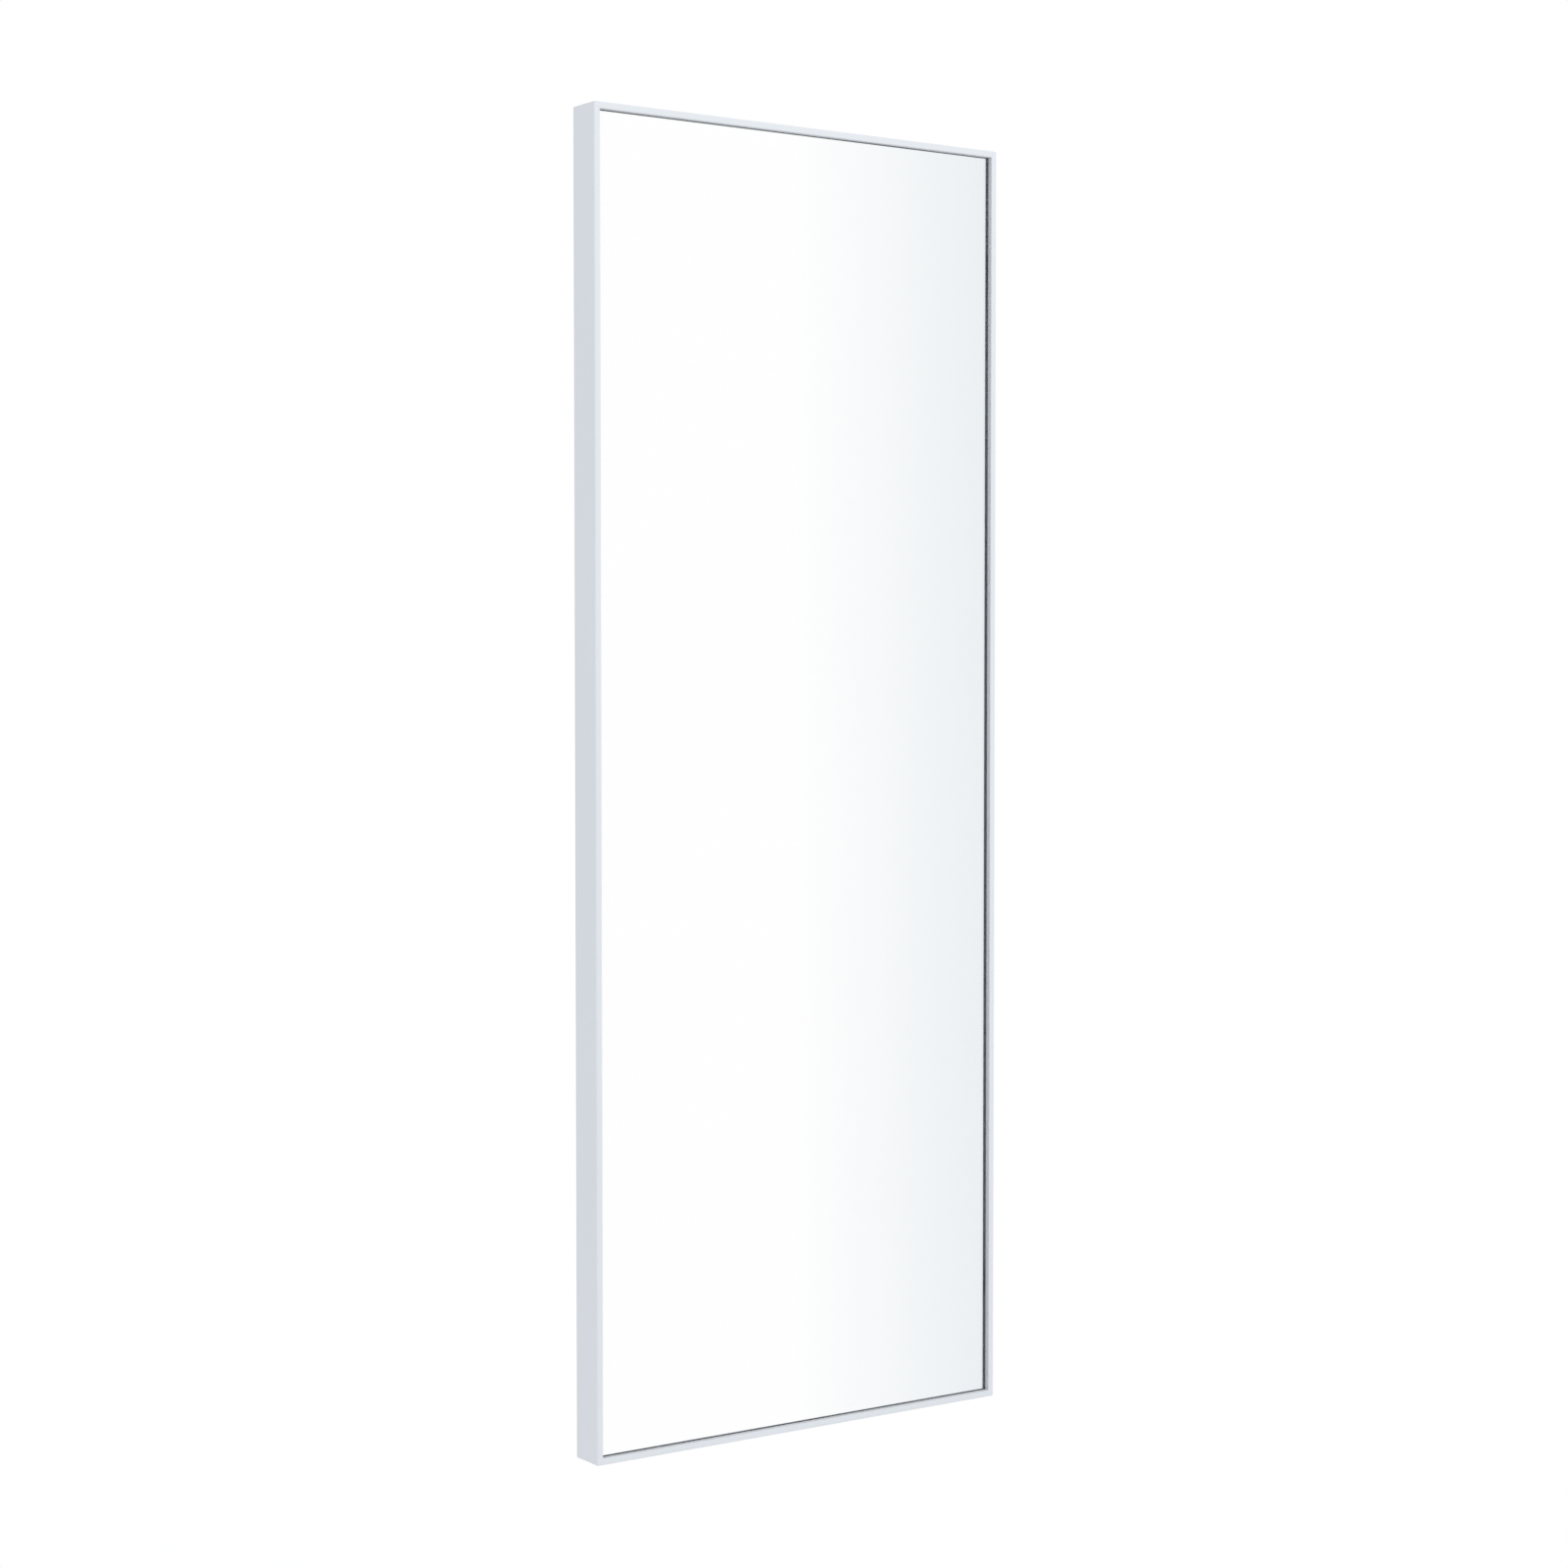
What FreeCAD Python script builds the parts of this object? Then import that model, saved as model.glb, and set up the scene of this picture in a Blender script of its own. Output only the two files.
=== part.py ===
"""Tall wall mirror: silvered glass and its backing in a mitred aluminium frame, hung by two D-rings.

Millimetres, +Z up, X across, front face towards -Y. The origin is the middle of the wall plane,
the plane in which the frame's rear rim lies.

Distances inside the frame section are counted from the outer corner of the front face:
"in" runs from the outer side towards the middle of the mirror, "back" runs from the front to the wall.
"""
import FreeCAD, Part
import math
import os
import Sketcher
from FreeCAD import Placement, Rotation, Vector

DRIVING_SIZES = {
    # whole mirror
    "overall_width": 600.0,
    "overall_height": 1600.0,
    # frame section
    "face_width": 8.4,
    "lip_depth": 6.4,
    "web_wall": 1.8,
    "tube_wall": 1.6,
    "flange_wall": 1.6,
    "flange_reach": 24.0,
    "chamber_depth": 17.4,
    "skirt_depth": 8.4,
    "rim_width": 4.0,
    "rim_thickness": 2.0,
    "outer_edge_round": 2.0,
    "lip_edge_round": 1.2,
    # glass and what lies behind it
    "edge_gap": 2.2,
    "tape_thickness": 1.0,
    "tape_setback": 0.1,
    "glass_thickness": 4.0,
    "glass_arris": 0.4,
    "film_thickness": 0.3,
    "foam_thickness": 2.0,
    "board_thickness": 3.0,
    "gasket_thickness": 1.3,
    "gasket_width": 8.0,
    "gasket_inset": 1.0,
    "block_length": 40.0,
    "block_inset": 130.0,
    # corner hardware
    "cleat_end": 14.0,
    "cleat_lead": 2.0,
    "cleat_clearance": 0.2,
    "key_leg": 32.0,
    "key_lead": 0.8,
    "key_clearance": 0.2,
    "corner_screw_start": 36.0,
    "corner_screw_pitch": 22.0,
    # screws
    "screw_diameter": 4.0,
    "screw_length": 10.0,
    "head_diameter": 7.6,
    "head_height": 2.6,
    "head_round": 1.0,
    "hole_clearance": 0.2,
    "thread_clearance": 0.05,
    # hangers
    "hanger_drop": 320.0,
    "strap_width": 14.0,
    "strap_thickness": 1.5,
    "strap_end": 9.0,
    "strap_corner_round": 4.0,
    "strap_hole_pitch": 15.0,
    "ring_wire": 3.5,
    "ring_play": 1.5,
    "ring_bend": 3.0,
    "ring_leg": 7.0,
    "ring_rim_gap": 0.5,
    "ring_head_gap": 7.2,
    "loop_clearance": 0.3,
    "nut_plate_thickness": 3.0,
    "nut_plate_margin": 8.0,
    "nut_plate_clearance": 0.2,
}

doc = FreeCAD.newDocument("wall_mirror")
sheet = doc.addObject("Spreadsheet::Sheet", "Sizes")
for row, (alias, size) in enumerate(DRIVING_SIZES.items(), start=1):
    sheet.set(f"A{row}", alias)
    sheet.set(f"B{row}", str(size))
    sheet.setAlias(f"B{row}", alias)
doc.recompute()

# Lengths that follow from the driving sizes, as expressions on the sheet.
# Layers of the section, front to back: each starts where the one before it ends
TAPE_BACK = "Sizes.lip_depth"
GLASS_BACK = f"({TAPE_BACK} + Sizes.tape_thickness)"
FILM_BACK = f"({GLASS_BACK} + Sizes.glass_thickness)"
FOAM_BACK = f"({FILM_BACK} + Sizes.film_thickness)"
BOARD_BACK = f"({FOAM_BACK} + Sizes.foam_thickness)"
GASKET_BACK = f"({BOARD_BACK} + Sizes.board_thickness)"
CHAMBER_START = f"({GASKET_BACK} + Sizes.gasket_thickness)"
CHAMBER_FLOOR = f"({CHAMBER_START} + Sizes.flange_wall)"
CHAMBER_ROOF = f"({CHAMBER_FLOOR} + Sizes.chamber_depth)"
CHAMBER_END = f"({CHAMBER_ROOF} + Sizes.flange_wall)"
DEPTH = f"({CHAMBER_END} + Sizes.skirt_depth)"

WIDTH = "Sizes.overall_width"
HEIGHT = "Sizes.overall_height"
LEFT = f"-{WIDTH} / 2"
RIGHT = f"{WIDTH} / 2"
BOTTOM = f"-{HEIGHT} / 2"
TOP = f"{HEIGHT} / 2"
FRONT = f"-{DEPTH}"
ORIGIN_PLANE = "0"

PACK_EDGE = "(Sizes.web_wall + Sizes.edge_gap)"
PACK_WIDTH = f"({WIDTH} - 2 * {PACK_EDGE})"
PACK_HEIGHT = f"({HEIGHT} - 2 * {PACK_EDGE})"
CHAMBER_INNER = "(Sizes.flange_reach - Sizes.flange_wall)"
CHAMBER_MIDDLE = f"((Sizes.web_wall + {CHAMBER_INNER}) / 2)"

SCREW_RADIUS = "Sizes.screw_diameter / 2"
CLEAR_HOLE_RADIUS = f"({SCREW_RADIUS} + Sizes.hole_clearance)"
THREAD_RADIUS = f"({SCREW_RADIUS} + Sizes.thread_clearance)"
LAST_CORNER_SCREW = "(Sizes.corner_screw_start + Sizes.corner_screw_pitch)"
SCREW_STATIONS = ["Sizes.corner_screw_start", LAST_CORNER_SCREW]
CLEAT_LEG = f"({LAST_CORNER_SCREW} + Sizes.cleat_end)"

# The ring straddles the strap and swings clear of the rim; hanging, it ends above the first screw head
RING_WIRE_RADIUS = "Sizes.ring_wire / 2"
RING_HALF_WIDTH = f"(Sizes.strap_width / 2 + Sizes.ring_play + {RING_WIRE_RADIUS})"
RING_REACH = f"(Sizes.ring_leg + {RING_HALF_WIDTH} + {RING_WIRE_RADIUS})"
LOOP_BORE = f"({RING_WIRE_RADIUS} + Sizes.loop_clearance)"
LOOP_RADIUS = f"({LOOP_BORE} + Sizes.strap_thickness)"
STRAP_INSET = f"(Sizes.rim_width + Sizes.ring_rim_gap + {RING_HALF_WIDTH} + {RING_WIRE_RADIUS})"
FIRST_STRAP_HOLE = f"({RING_REACH} + Sizes.ring_head_gap + Sizes.head_diameter / 2)"
LAST_STRAP_HOLE = f"({FIRST_STRAP_HOLE} + Sizes.strap_hole_pitch)"
STRAP_HOLES = [FIRST_STRAP_HOLE, LAST_STRAP_HOLE]
STRAP_TAIL = f"({LAST_STRAP_HOLE} + Sizes.strap_end)"
BAR_HEIGHT = f"({TOP} - Sizes.hanger_drop)"
SIDE_POSITIONS = {
    "left": f"({LEFT} + {STRAP_INSET})",
    "right": f"({RIGHT} - {STRAP_INSET})",
}

# Clockwise seen from the front: a quarter turn about Y carries each corner to the next one
CORNERS = {
    "bottom_left": (LEFT, BOTTOM),
    "top_left": (LEFT, TOP),
    "top_right": (RIGHT, TOP),
    "bottom_right": (RIGHT, BOTTOM),
}

sub_parts = []


def number(expression):
    """Present value of an expression on the sheet."""
    result = sheet.evalExpression(expression)
    return float(getattr(result, "Value", result))


def bind(thing, **bindings):
    for prop, expression in bindings.items():
        thing.setExpression(prop, expression)
    return thing


def put(thing, across, back, up, turn=None):
    """Place an object by expressions, after an optional fixed turn."""
    if turn is not None:
        thing.Placement = Placement(Vector(), turn)
    thing.setExpression("Placement.Base.x", across)
    thing.setExpression("Placement.Base.y", back)
    thing.setExpression("Placement.Base.z", up)
    return thing


def keep(thing, label):
    """Name an object as a sub-part of the mirror."""
    thing.Label = label
    sub_parts.append(thing)
    return thing


def new_body(name):
    return doc.addObject("PartDesign::Body", name)


def new_sketch(body, name, role, lift=ORIGIN_PLANE):
    """Sketch on one of the body's own origin planes, lifted along that plane's normal."""
    sketch = body.newObject("Sketcher::SketchObject", name)
    plane = next(feature for feature in body.Origin.OriginFeatures if feature.Role == role)
    sketch.AttachmentSupport = (plane, [""])
    sketch.MapMode = "FlatFace"
    sketch.setExpression("AttachmentOffset.Base.z", lift)
    return sketch


def hold_point(sketch, geometry, point, across, up):
    """Dimension one point of the sketch from the sketch origin."""
    for kind, expression in (("DistanceX", across), ("DistanceY", up)):
        dimension = Sketcher.Constraint(kind, -1, 1, geometry, point, number(expression))
        index = sketch.addConstraint(dimension)
        sketch.setExpression(f"Constraints[{index}]", expression)


def draw_outline(sketch, corners):
    """Closed outline of straight lines through the corners."""
    first = sketch.GeometryCount
    count = len(corners)
    points = [Vector(number(across), number(up), 0) for across, up in corners]
    for step in range(count):
        sketch.addGeometry(Part.LineSegment(points[step], points[(step + 1) % count]), False)
    for step in range(count):
        following = first + (step + 1) % count
        sketch.addConstraint(Sketcher.Constraint("Coincident", first + step, 2, following, 1))
    for step, (across, up) in enumerate(corners):
        hold_point(sketch, first + step, 1, across, up)


def draw_circles(sketch, centres, radius):
    for across, up in centres:
        middle = Vector(number(across), number(up), 0)
        index = sketch.addGeometry(Part.Circle(middle, Vector(0, 0, 1), number(radius)), False)
        hold_point(sketch, index, 3, across, up)
        size = sketch.addConstraint(Sketcher.Constraint("Radius", index, number(radius)))
        sketch.setExpression(f"Constraints[{size}]", radius)


def pad(body, name, sketch, length, reverse=False, symmetric=False):
    feature = body.newObject("PartDesign::Pad", name)
    feature.Profile = sketch
    feature.Reversed = reverse
    if symmetric:
        feature.SideType = "Symmetric"
    bind(feature, Length=length)
    doc.recompute()
    return feature


def cut_through(body, name, sketch, length=None):
    """Cut both ways from the sketch: right through, or over a length centred on the sketch."""
    before = body.Shape.Volume
    feature = body.newObject("PartDesign::Pocket", name)
    feature.Profile = sketch
    feature.SideType = "Symmetric"
    if length is None:
        feature.Type = "ThroughAll"
    else:
        bind(feature, Length=length)
    doc.recompute()
    if body.Shape.Volume >= before:
        raise RuntimeError(f"{body.Name}: {name} removed nothing")
    return feature


def edges_where(feature, *tests):
    """Names of the feature's edges whose ends both satisfy one of the tests."""
    names = []
    for index, edge in enumerate(feature.Shape.Edges, start=1):
        ends = [vertex.Point for vertex in edge.Vertexes]
        if any(all(test(end) for end in ends) for test in tests):
            names.append(f"Edge{index}")
    return names


def soften(body, kind, name, base, tests, **size):
    """Fillet or chamfer the edges of a feature that satisfy one of the tests."""
    feature = body.newObject(f"PartDesign::{kind}", name)
    feature.Base = (base, edges_where(base, *tests))
    bind(feature, **size)
    doc.recompute()
    return feature


def near(first, second):
    return abs(first - second) < 1e-4


def block(name, sizes, place):
    """Rectangular block from its lowest corner."""
    solid = doc.addObject("Part::Box", name)
    bind(solid, Length=sizes[0], Width=sizes[1], Height=sizes[2])
    return put(solid, *place)


def frame_member(label, length, turn, across, up, hanger_holes=()):
    """One mitred length of the frame extrusion.

    Section: a slim front tube that makes the face and the lip, the groove for the glass, a rear
    chamber for the corner cleats, and a skirt that ends in the rim against the wall.
    """
    body = new_body(label)
    section = new_sketch(body, f"{label}_section", "XY_Plane")
    rim_start = f"({DEPTH} - Sizes.rim_thickness)"
    draw_outline(section, [
        ("0", "0"),
        ("Sizes.face_width", "0"),
        ("Sizes.face_width", "Sizes.lip_depth"),
        ("Sizes.web_wall", "Sizes.lip_depth"),
        ("Sizes.web_wall", CHAMBER_START),
        ("Sizes.flange_reach", CHAMBER_START),
        ("Sizes.flange_reach", CHAMBER_END),
        ("Sizes.web_wall", CHAMBER_END),
        ("Sizes.web_wall", rim_start),
        ("Sizes.rim_width", rim_start),
        ("Sizes.rim_width", DEPTH),
        ("0", DEPTH),
    ])
    tube_inner = "(Sizes.face_width - Sizes.tube_wall)"
    tube_end = "(Sizes.lip_depth - Sizes.tube_wall)"
    draw_outline(section, [
        ("Sizes.web_wall", "Sizes.tube_wall"),
        (tube_inner, "Sizes.tube_wall"),
        (tube_inner, tube_end),
        ("Sizes.web_wall", tube_end),
    ])
    draw_outline(section, [
        ("Sizes.web_wall", CHAMBER_FLOOR),
        (CHAMBER_INNER, CHAMBER_FLOOR),
        (CHAMBER_INNER, CHAMBER_ROOF),
        ("Sizes.web_wall", CHAMBER_ROOF),
    ])
    bar = pad(body, f"{label}_bar", section, length)

    face_width = number("Sizes.face_width")
    rounded = soften(
        body, "Fillet", f"{label}_outer_round", bar,
        [lambda point: near(point.x, 0) and near(point.y, 0)],
        Radius="Sizes.outer_edge_round")
    soften(
        body, "Fillet", f"{label}_lip_round", rounded,
        [lambda point: near(point.x, face_width) and near(point.y, 0)],
        Radius="Sizes.lip_edge_round")

    # The cut at each end takes off a triangle that reaches past the inner edge of the section
    mitre = new_sketch(body, f"{label}_mitre", "XZ_Plane")
    reach = "Sizes.flange_reach + Sizes.web_wall"
    draw_outline(mitre, [("0", "0"), (reach, "0"), (reach, reach)])
    draw_outline(mitre, [("0", length), (reach, f"{length} - ({reach})"), (reach, length)])
    cut_through(body, f"{label}_mitre_cut", mitre)

    holes = new_sketch(body, f"{label}_holes", "XZ_Plane", f"Sizes.flange_wall / 2 - {CHAMBER_END}")
    stations = SCREW_STATIONS + [f"({length} - {station})" for station in SCREW_STATIONS]
    centres = [(CHAMBER_MIDDLE, station) for station in stations]
    centres += [(STRAP_INSET, station) for station in hanger_holes]
    draw_circles(holes, centres, CLEAR_HOLE_RADIUS)
    cut_through(body, f"{label}_drilled", holes, "2 * Sizes.flange_wall")
    put(body, across, FRONT, up, Rotation(Vector(0, 1, 0), turn))
    return keep(body, label)


def corner_piece(label, corner, near_side, far_side, leg, lead, back, thickness):
    """L-shaped piece lying in the hollows of two members where they meet at a corner."""
    across, up = CORNERS[corner]
    quarter_turns = list(CORNERS).index(corner)
    body = new_body(label)
    outline = new_sketch(body, f"{label}_outline", "XZ_Plane", f"-{back}")
    draw_outline(outline, [
        (near_side, near_side),
        (f"{leg} - {lead}", near_side),
        (leg, f"{near_side} + {lead}"),
        (leg, f"{far_side} - {lead}"),
        (f"{leg} - {lead}", far_side),
        (far_side, far_side),
        (far_side, f"{leg} - {lead}"),
        (f"{far_side} - {lead}", leg),
        (f"{near_side} + {lead}", leg),
        (near_side, f"{leg} - {lead}"),
    ])
    pad(body, f"{label}_plate", outline, thickness, reverse=True)
    put(body, across, FRONT, up, Rotation(Vector(0, 1, 0), 90 * quarter_turns))
    return keep(body, label)


def corner_cleat(corner):
    label = f"corner_cleat_{corner}"
    body = corner_piece(
        label, corner,
        "(Sizes.web_wall + Sizes.cleat_clearance)",
        f"({CHAMBER_INNER} - Sizes.cleat_clearance)",
        CLEAT_LEG, "Sizes.cleat_lead",
        f"({CHAMBER_FLOOR} + Sizes.cleat_clearance)",
        f"{CHAMBER_ROOF} - {CHAMBER_FLOOR} - 2 * Sizes.cleat_clearance")
    threads = new_sketch(body, f"{label}_threads", "XZ_Plane")
    centres = [(CHAMBER_MIDDLE, station) for station in SCREW_STATIONS]
    centres += [(station, CHAMBER_MIDDLE) for station in SCREW_STATIONS]
    draw_circles(threads, centres, THREAD_RADIUS)
    cut_through(body, f"{label}_threaded", threads)


def front_corner_key(corner):
    corner_piece(
        f"front_corner_key_{corner}", corner,
        "(Sizes.web_wall + Sizes.key_clearance)",
        "(Sizes.face_width - Sizes.tube_wall - Sizes.key_clearance)",
        "Sizes.key_leg", "Sizes.key_lead",
        "(Sizes.tube_wall + Sizes.key_clearance)",
        "Sizes.lip_depth - 2 * (Sizes.tube_wall + Sizes.key_clearance)")


def screw_set(label, centres, seat):
    """Pan-head screws in one node, seated on a plane at a given distance back from the front."""
    body = new_body(label)
    body.AllowCompound = True
    shanks = new_sketch(body, f"{label}_shanks", "XZ_Plane", f"-{seat}")
    draw_circles(shanks, centres, SCREW_RADIUS)
    pad(body, f"{label}_shank", shanks, "Sizes.screw_length")
    heads = new_sketch(body, f"{label}_heads", "XZ_Plane", f"-{seat}")
    draw_circles(heads, centres, "Sizes.head_diameter / 2")
    headed = pad(body, f"{label}_head", heads, "Sizes.head_height", reverse=True)
    crown = number(f"{seat} + Sizes.head_height")
    soften(
        body, "Fillet", f"{label}_head_round", headed,
        [lambda point: near(point.y, crown)],
        Radius="Sizes.head_round")
    put(body, LEFT, FRONT, BOTTOM)
    return keep(body, label)


def strips(family, thickness, back, start, width, end_inset):
    """Four strips round the glass: two full-height side strips with two cross strips between them."""
    side_length = f"{HEIGHT} - 2 * {end_inset}"
    cross_length = f"{WIDTH} - 2 * ({start} + {width})"
    y = f"{back} - {DEPTH}"
    sides = {
        "left": ((width, thickness, side_length), (f"{LEFT} + {start}", y, f"{BOTTOM} + {end_inset}")),
        "right": ((width, thickness, side_length),
                  (f"{RIGHT} - {start} - {width}", y, f"{BOTTOM} + {end_inset}")),
        "top": ((cross_length, thickness, width),
                (f"{LEFT} + {start} + {width}", y, f"{TOP} - {start} - {width}")),
        "bottom": ((cross_length, thickness, width),
                   (f"{LEFT} + {start} + {width}", y, f"{BOTTOM} + {start}")),
    }
    for side, (sizes, place) in sides.items():
        label = f"{family}_{side}"
        keep(block(label, sizes, place), label)


def sheet_of(label, thickness, back):
    """Flat sheet of the same outline as the glass."""
    place = (f"{LEFT} + {PACK_EDGE}", f"{back} - {DEPTH}", f"{BOTTOM} + {PACK_EDGE}")
    return keep(block(label, (PACK_WIDTH, thickness, PACK_HEIGHT), place), label)


def mirror_glass():
    label = "mirror_glass"
    body = new_body(label)
    outline = new_sketch(body, f"{label}_outline", "XZ_Plane")
    draw_outline(outline, [
        ("0", "0"), (PACK_WIDTH, "0"), (PACK_WIDTH, PACK_HEIGHT), ("0", PACK_HEIGHT)])
    pane = pad(body, f"{label}_pane", outline, "Sizes.glass_thickness", reverse=True)
    thickness = number("Sizes.glass_thickness")
    soften(
        body, "Chamfer", f"{label}_arris", pane,
        [lambda point: near(point.y, 0), lambda point: near(point.y, thickness)],
        Size="Sizes.glass_arris")
    put(body, f"{LEFT} + {PACK_EDGE}", f"{GLASS_BACK} - {DEPTH}", f"{BOTTOM} + {PACK_EDGE}")
    keep(body, label)


def setting_blocks():
    """Rubber blocks between the frame and the edges of the glass, two on each side."""
    depth = f"{GASKET_BACK} - {GLASS_BACK}"
    y = f"{GLASS_BACK} - {DEPTH}"
    far = "(Sizes.block_inset + Sizes.block_length)"
    blocks = []
    for side, x in (("left", f"{LEFT} + Sizes.web_wall"), ("right", f"{RIGHT} - {PACK_EDGE}")):
        for end, z in (("low", f"{BOTTOM} + Sizes.block_inset"), ("high", f"{TOP} - {far}")):
            sizes = ("Sizes.edge_gap", depth, "Sizes.block_length")
            blocks.append(block(f"setting_block_{side}_{end}", sizes, (x, y, z)))
    for side, z in (("bottom", f"{BOTTOM} + Sizes.web_wall"), ("top", f"{TOP} - {PACK_EDGE}")):
        for end, x in (("left", f"{LEFT} + Sizes.block_inset"), ("right", f"{RIGHT} - {far}")):
            sizes = ("Sizes.block_length", depth, "Sizes.edge_gap")
            blocks.append(block(f"setting_block_{side}_{end}", sizes, (x, y, z)))
    group = doc.addObject("Part::Compound", "setting_blocks")
    group.Links = blocks
    keep(group, "setting_blocks")


def loop_arc(middle, radius):
    """Three quarters of a turn, from straight below the middle round to the strap's own line."""
    circle = Part.Circle(middle, Vector(0, 0, 1), radius)
    return Part.ArcOfCircle(circle, math.radians(-90), math.radians(180))


def hanger_strap(side):
    """Steel strap with two screw holes, its upper end rolled round the bar of the ring."""
    label = f"hanger_strap_{side}"
    body = new_body(label)
    section = new_sketch(body, f"{label}_section", "YZ_Plane")
    tail = STRAP_TAIL
    thickness = "Sizes.strap_thickness"
    foot_front = Vector(0, 0, 0)
    foot_rear = Vector(number(thickness), 0, 0)
    top_front = Vector(0, number(tail), 0)
    top_rear = Vector(number(thickness), number(tail), 0)
    loop_middle = Vector(number(LOOP_RADIUS), number(tail), 0)
    end_outer = loop_middle - Vector(0, number(LOOP_RADIUS), 0)
    end_inner = loop_middle - Vector(0, number(LOOP_BORE), 0)
    sketch_lines = [
        Part.LineSegment(foot_front, top_front),
        loop_arc(loop_middle, number(LOOP_RADIUS)),
        Part.LineSegment(end_outer, end_inner),
        loop_arc(loop_middle, number(LOOP_BORE)),
        Part.LineSegment(top_rear, foot_rear),
        Part.LineSegment(foot_rear, foot_front),
    ]
    front_face, roll, roll_end, bore, rear_face, foot = [
        section.addGeometry(line, False) for line in sketch_lines]
    joints = [
        (front_face, 2, roll, 2), (roll, 1, roll_end, 1), (roll_end, 2, bore, 1),
        (bore, 2, rear_face, 1), (rear_face, 2, foot, 1), (foot, 2, front_face, 1),
        (bore, 3, roll, 3),
    ]
    for first, first_point, second, second_point in joints:
        section.addConstraint(Sketcher.Constraint("Coincident", first, first_point, second, second_point))
    hold_point(section, front_face, 1, "0", "0")
    hold_point(section, front_face, 2, "0", tail)
    hold_point(section, roll_end, 1, LOOP_RADIUS, f"{tail} - {LOOP_RADIUS}")
    hold_point(section, rear_face, 1, thickness, tail)
    hold_point(section, rear_face, 2, thickness, "0")
    section.addConstraint(Sketcher.Constraint("Vertical", roll_end))
    rise = section.addConstraint(Sketcher.Constraint("DistanceY", -1, 1, roll, 3, number(tail)))
    section.setExpression(f"Constraints[{rise}]", tail)
    strip = pad(body, f"{label}_strip", section, "Sizes.strap_width", symmetric=True)
    half = number("Sizes.strap_width / 2")
    soften(
        body, "Fillet", f"{label}_foot_round", strip,
        [lambda point: near(point.z, 0) and near(point.x, -half),
         lambda point: near(point.z, 0) and near(point.x, half)],
        Radius="Sizes.strap_corner_round")
    holes = new_sketch(body, f"{label}_holes", "XZ_Plane", f"-{thickness} / 2")
    draw_circles(holes, [("0", f"{tail} - {station}") for station in STRAP_HOLES], CLEAR_HOLE_RADIUS)
    cut_through(body, f"{label}_punched", holes, f"2 * {thickness}")
    put(body, SIDE_POSITIONS[side], "-Sizes.skirt_depth", f"{BAR_HEIGHT} - {tail}")
    keep(body, label)


def hanger_ring(side):
    """D-ring of round wire: a straight bar in the loop of the strap, two bends, two legs and a half round."""
    label = f"hanger_ring_{side}"
    half = RING_HALF_WIDTH
    bend = "Sizes.ring_bend"
    wire = RING_WIRE_RADIUS
    x = SIDE_POSITIONS[side]
    y = f"{LOOP_RADIUS} - Sizes.skirt_depth"
    z = BAR_HEIGHT
    bar = doc.addObject("Part::Cylinder", f"{label}_bar")
    bind(bar, Radius=wire, Height=f"2 * ({half} - {bend})")
    put(bar, f"{x} - ({half} - {bend})", y, z, Rotation(Vector(0, 1, 0), 90))
    pieces = [bar]
    for end, sign, quarter in (("left", "-", 90), ("right", "+", 0)):
        corner = doc.addObject("Part::Torus", f"{label}_{end}_bend")
        corner.Angle3 = 90
        bind(corner, Radius1=bend, Radius2=wire)
        turn = Rotation(Vector(1, 0, 0), 90) * Rotation(Vector(0, 0, 1), quarter)
        put(corner, f"{x} {sign} ({half} - {bend})", y, f"{z} - {bend}", turn)
        leg = doc.addObject("Part::Cylinder", f"{label}_{end}_leg")
        bind(leg, Radius=wire, Height=f"Sizes.ring_leg - {bend}")
        put(leg, f"{x} {sign} {half}", y, f"{z} - Sizes.ring_leg")
        pieces += [corner, leg]
    bow = doc.addObject("Part::Torus", f"{label}_bow")
    bow.Angle3 = 180
    bind(bow, Radius1=half, Radius2=wire)
    turn = Rotation(Vector(1, 0, 0), 90) * Rotation(Vector(0, 0, 1), 180)
    put(bow, x, y, f"{z} - Sizes.ring_leg", turn)
    pieces.append(bow)
    ring = doc.addObject("Part::MultiFuse", label)
    ring.Shapes = pieces
    keep(ring, label)


def hanger_nut_plate(side):
    """Threaded plate inside the stile, against the rear flange, for the two screws of a strap."""
    label = f"hanger_nut_plate_{side}"
    thickness = "Sizes.nut_plate_thickness"
    y = f"{CHAMBER_ROOF} - {thickness} - {DEPTH}"
    starts = {
        "left": f"{LEFT} + Sizes.web_wall + Sizes.nut_plate_clearance",
        "right": f"{RIGHT} - {CHAMBER_INNER} + Sizes.nut_plate_clearance",
    }
    width = f"{CHAMBER_INNER} - Sizes.web_wall - 2 * Sizes.nut_plate_clearance"
    height = "Sizes.strap_hole_pitch + 2 * Sizes.nut_plate_margin"
    foot = f"{BAR_HEIGHT} - {LAST_STRAP_HOLE} - Sizes.nut_plate_margin"
    plate = block(f"{label}_blank", (width, thickness, height), (starts[side], y, foot))
    threads = []
    for count, station in enumerate(STRAP_HOLES, start=1):
        thread = doc.addObject("Part::Cylinder", f"{label}_thread_{count}")
        bind(thread, Radius=THREAD_RADIUS, Height=thickness)
        turn = Rotation(Vector(1, 0, 0), -90)
        threads.append(put(thread, SIDE_POSITIONS[side], y, f"{BAR_HEIGHT} - {station}", turn))
    bores = doc.addObject("Part::MultiFuse", f"{label}_threads")
    bores.Shapes = threads
    threaded = doc.addObject("Part::Cut", label)
    threaded.Base = plate
    threaded.Tool = bores
    keep(threaded, label)


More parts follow.
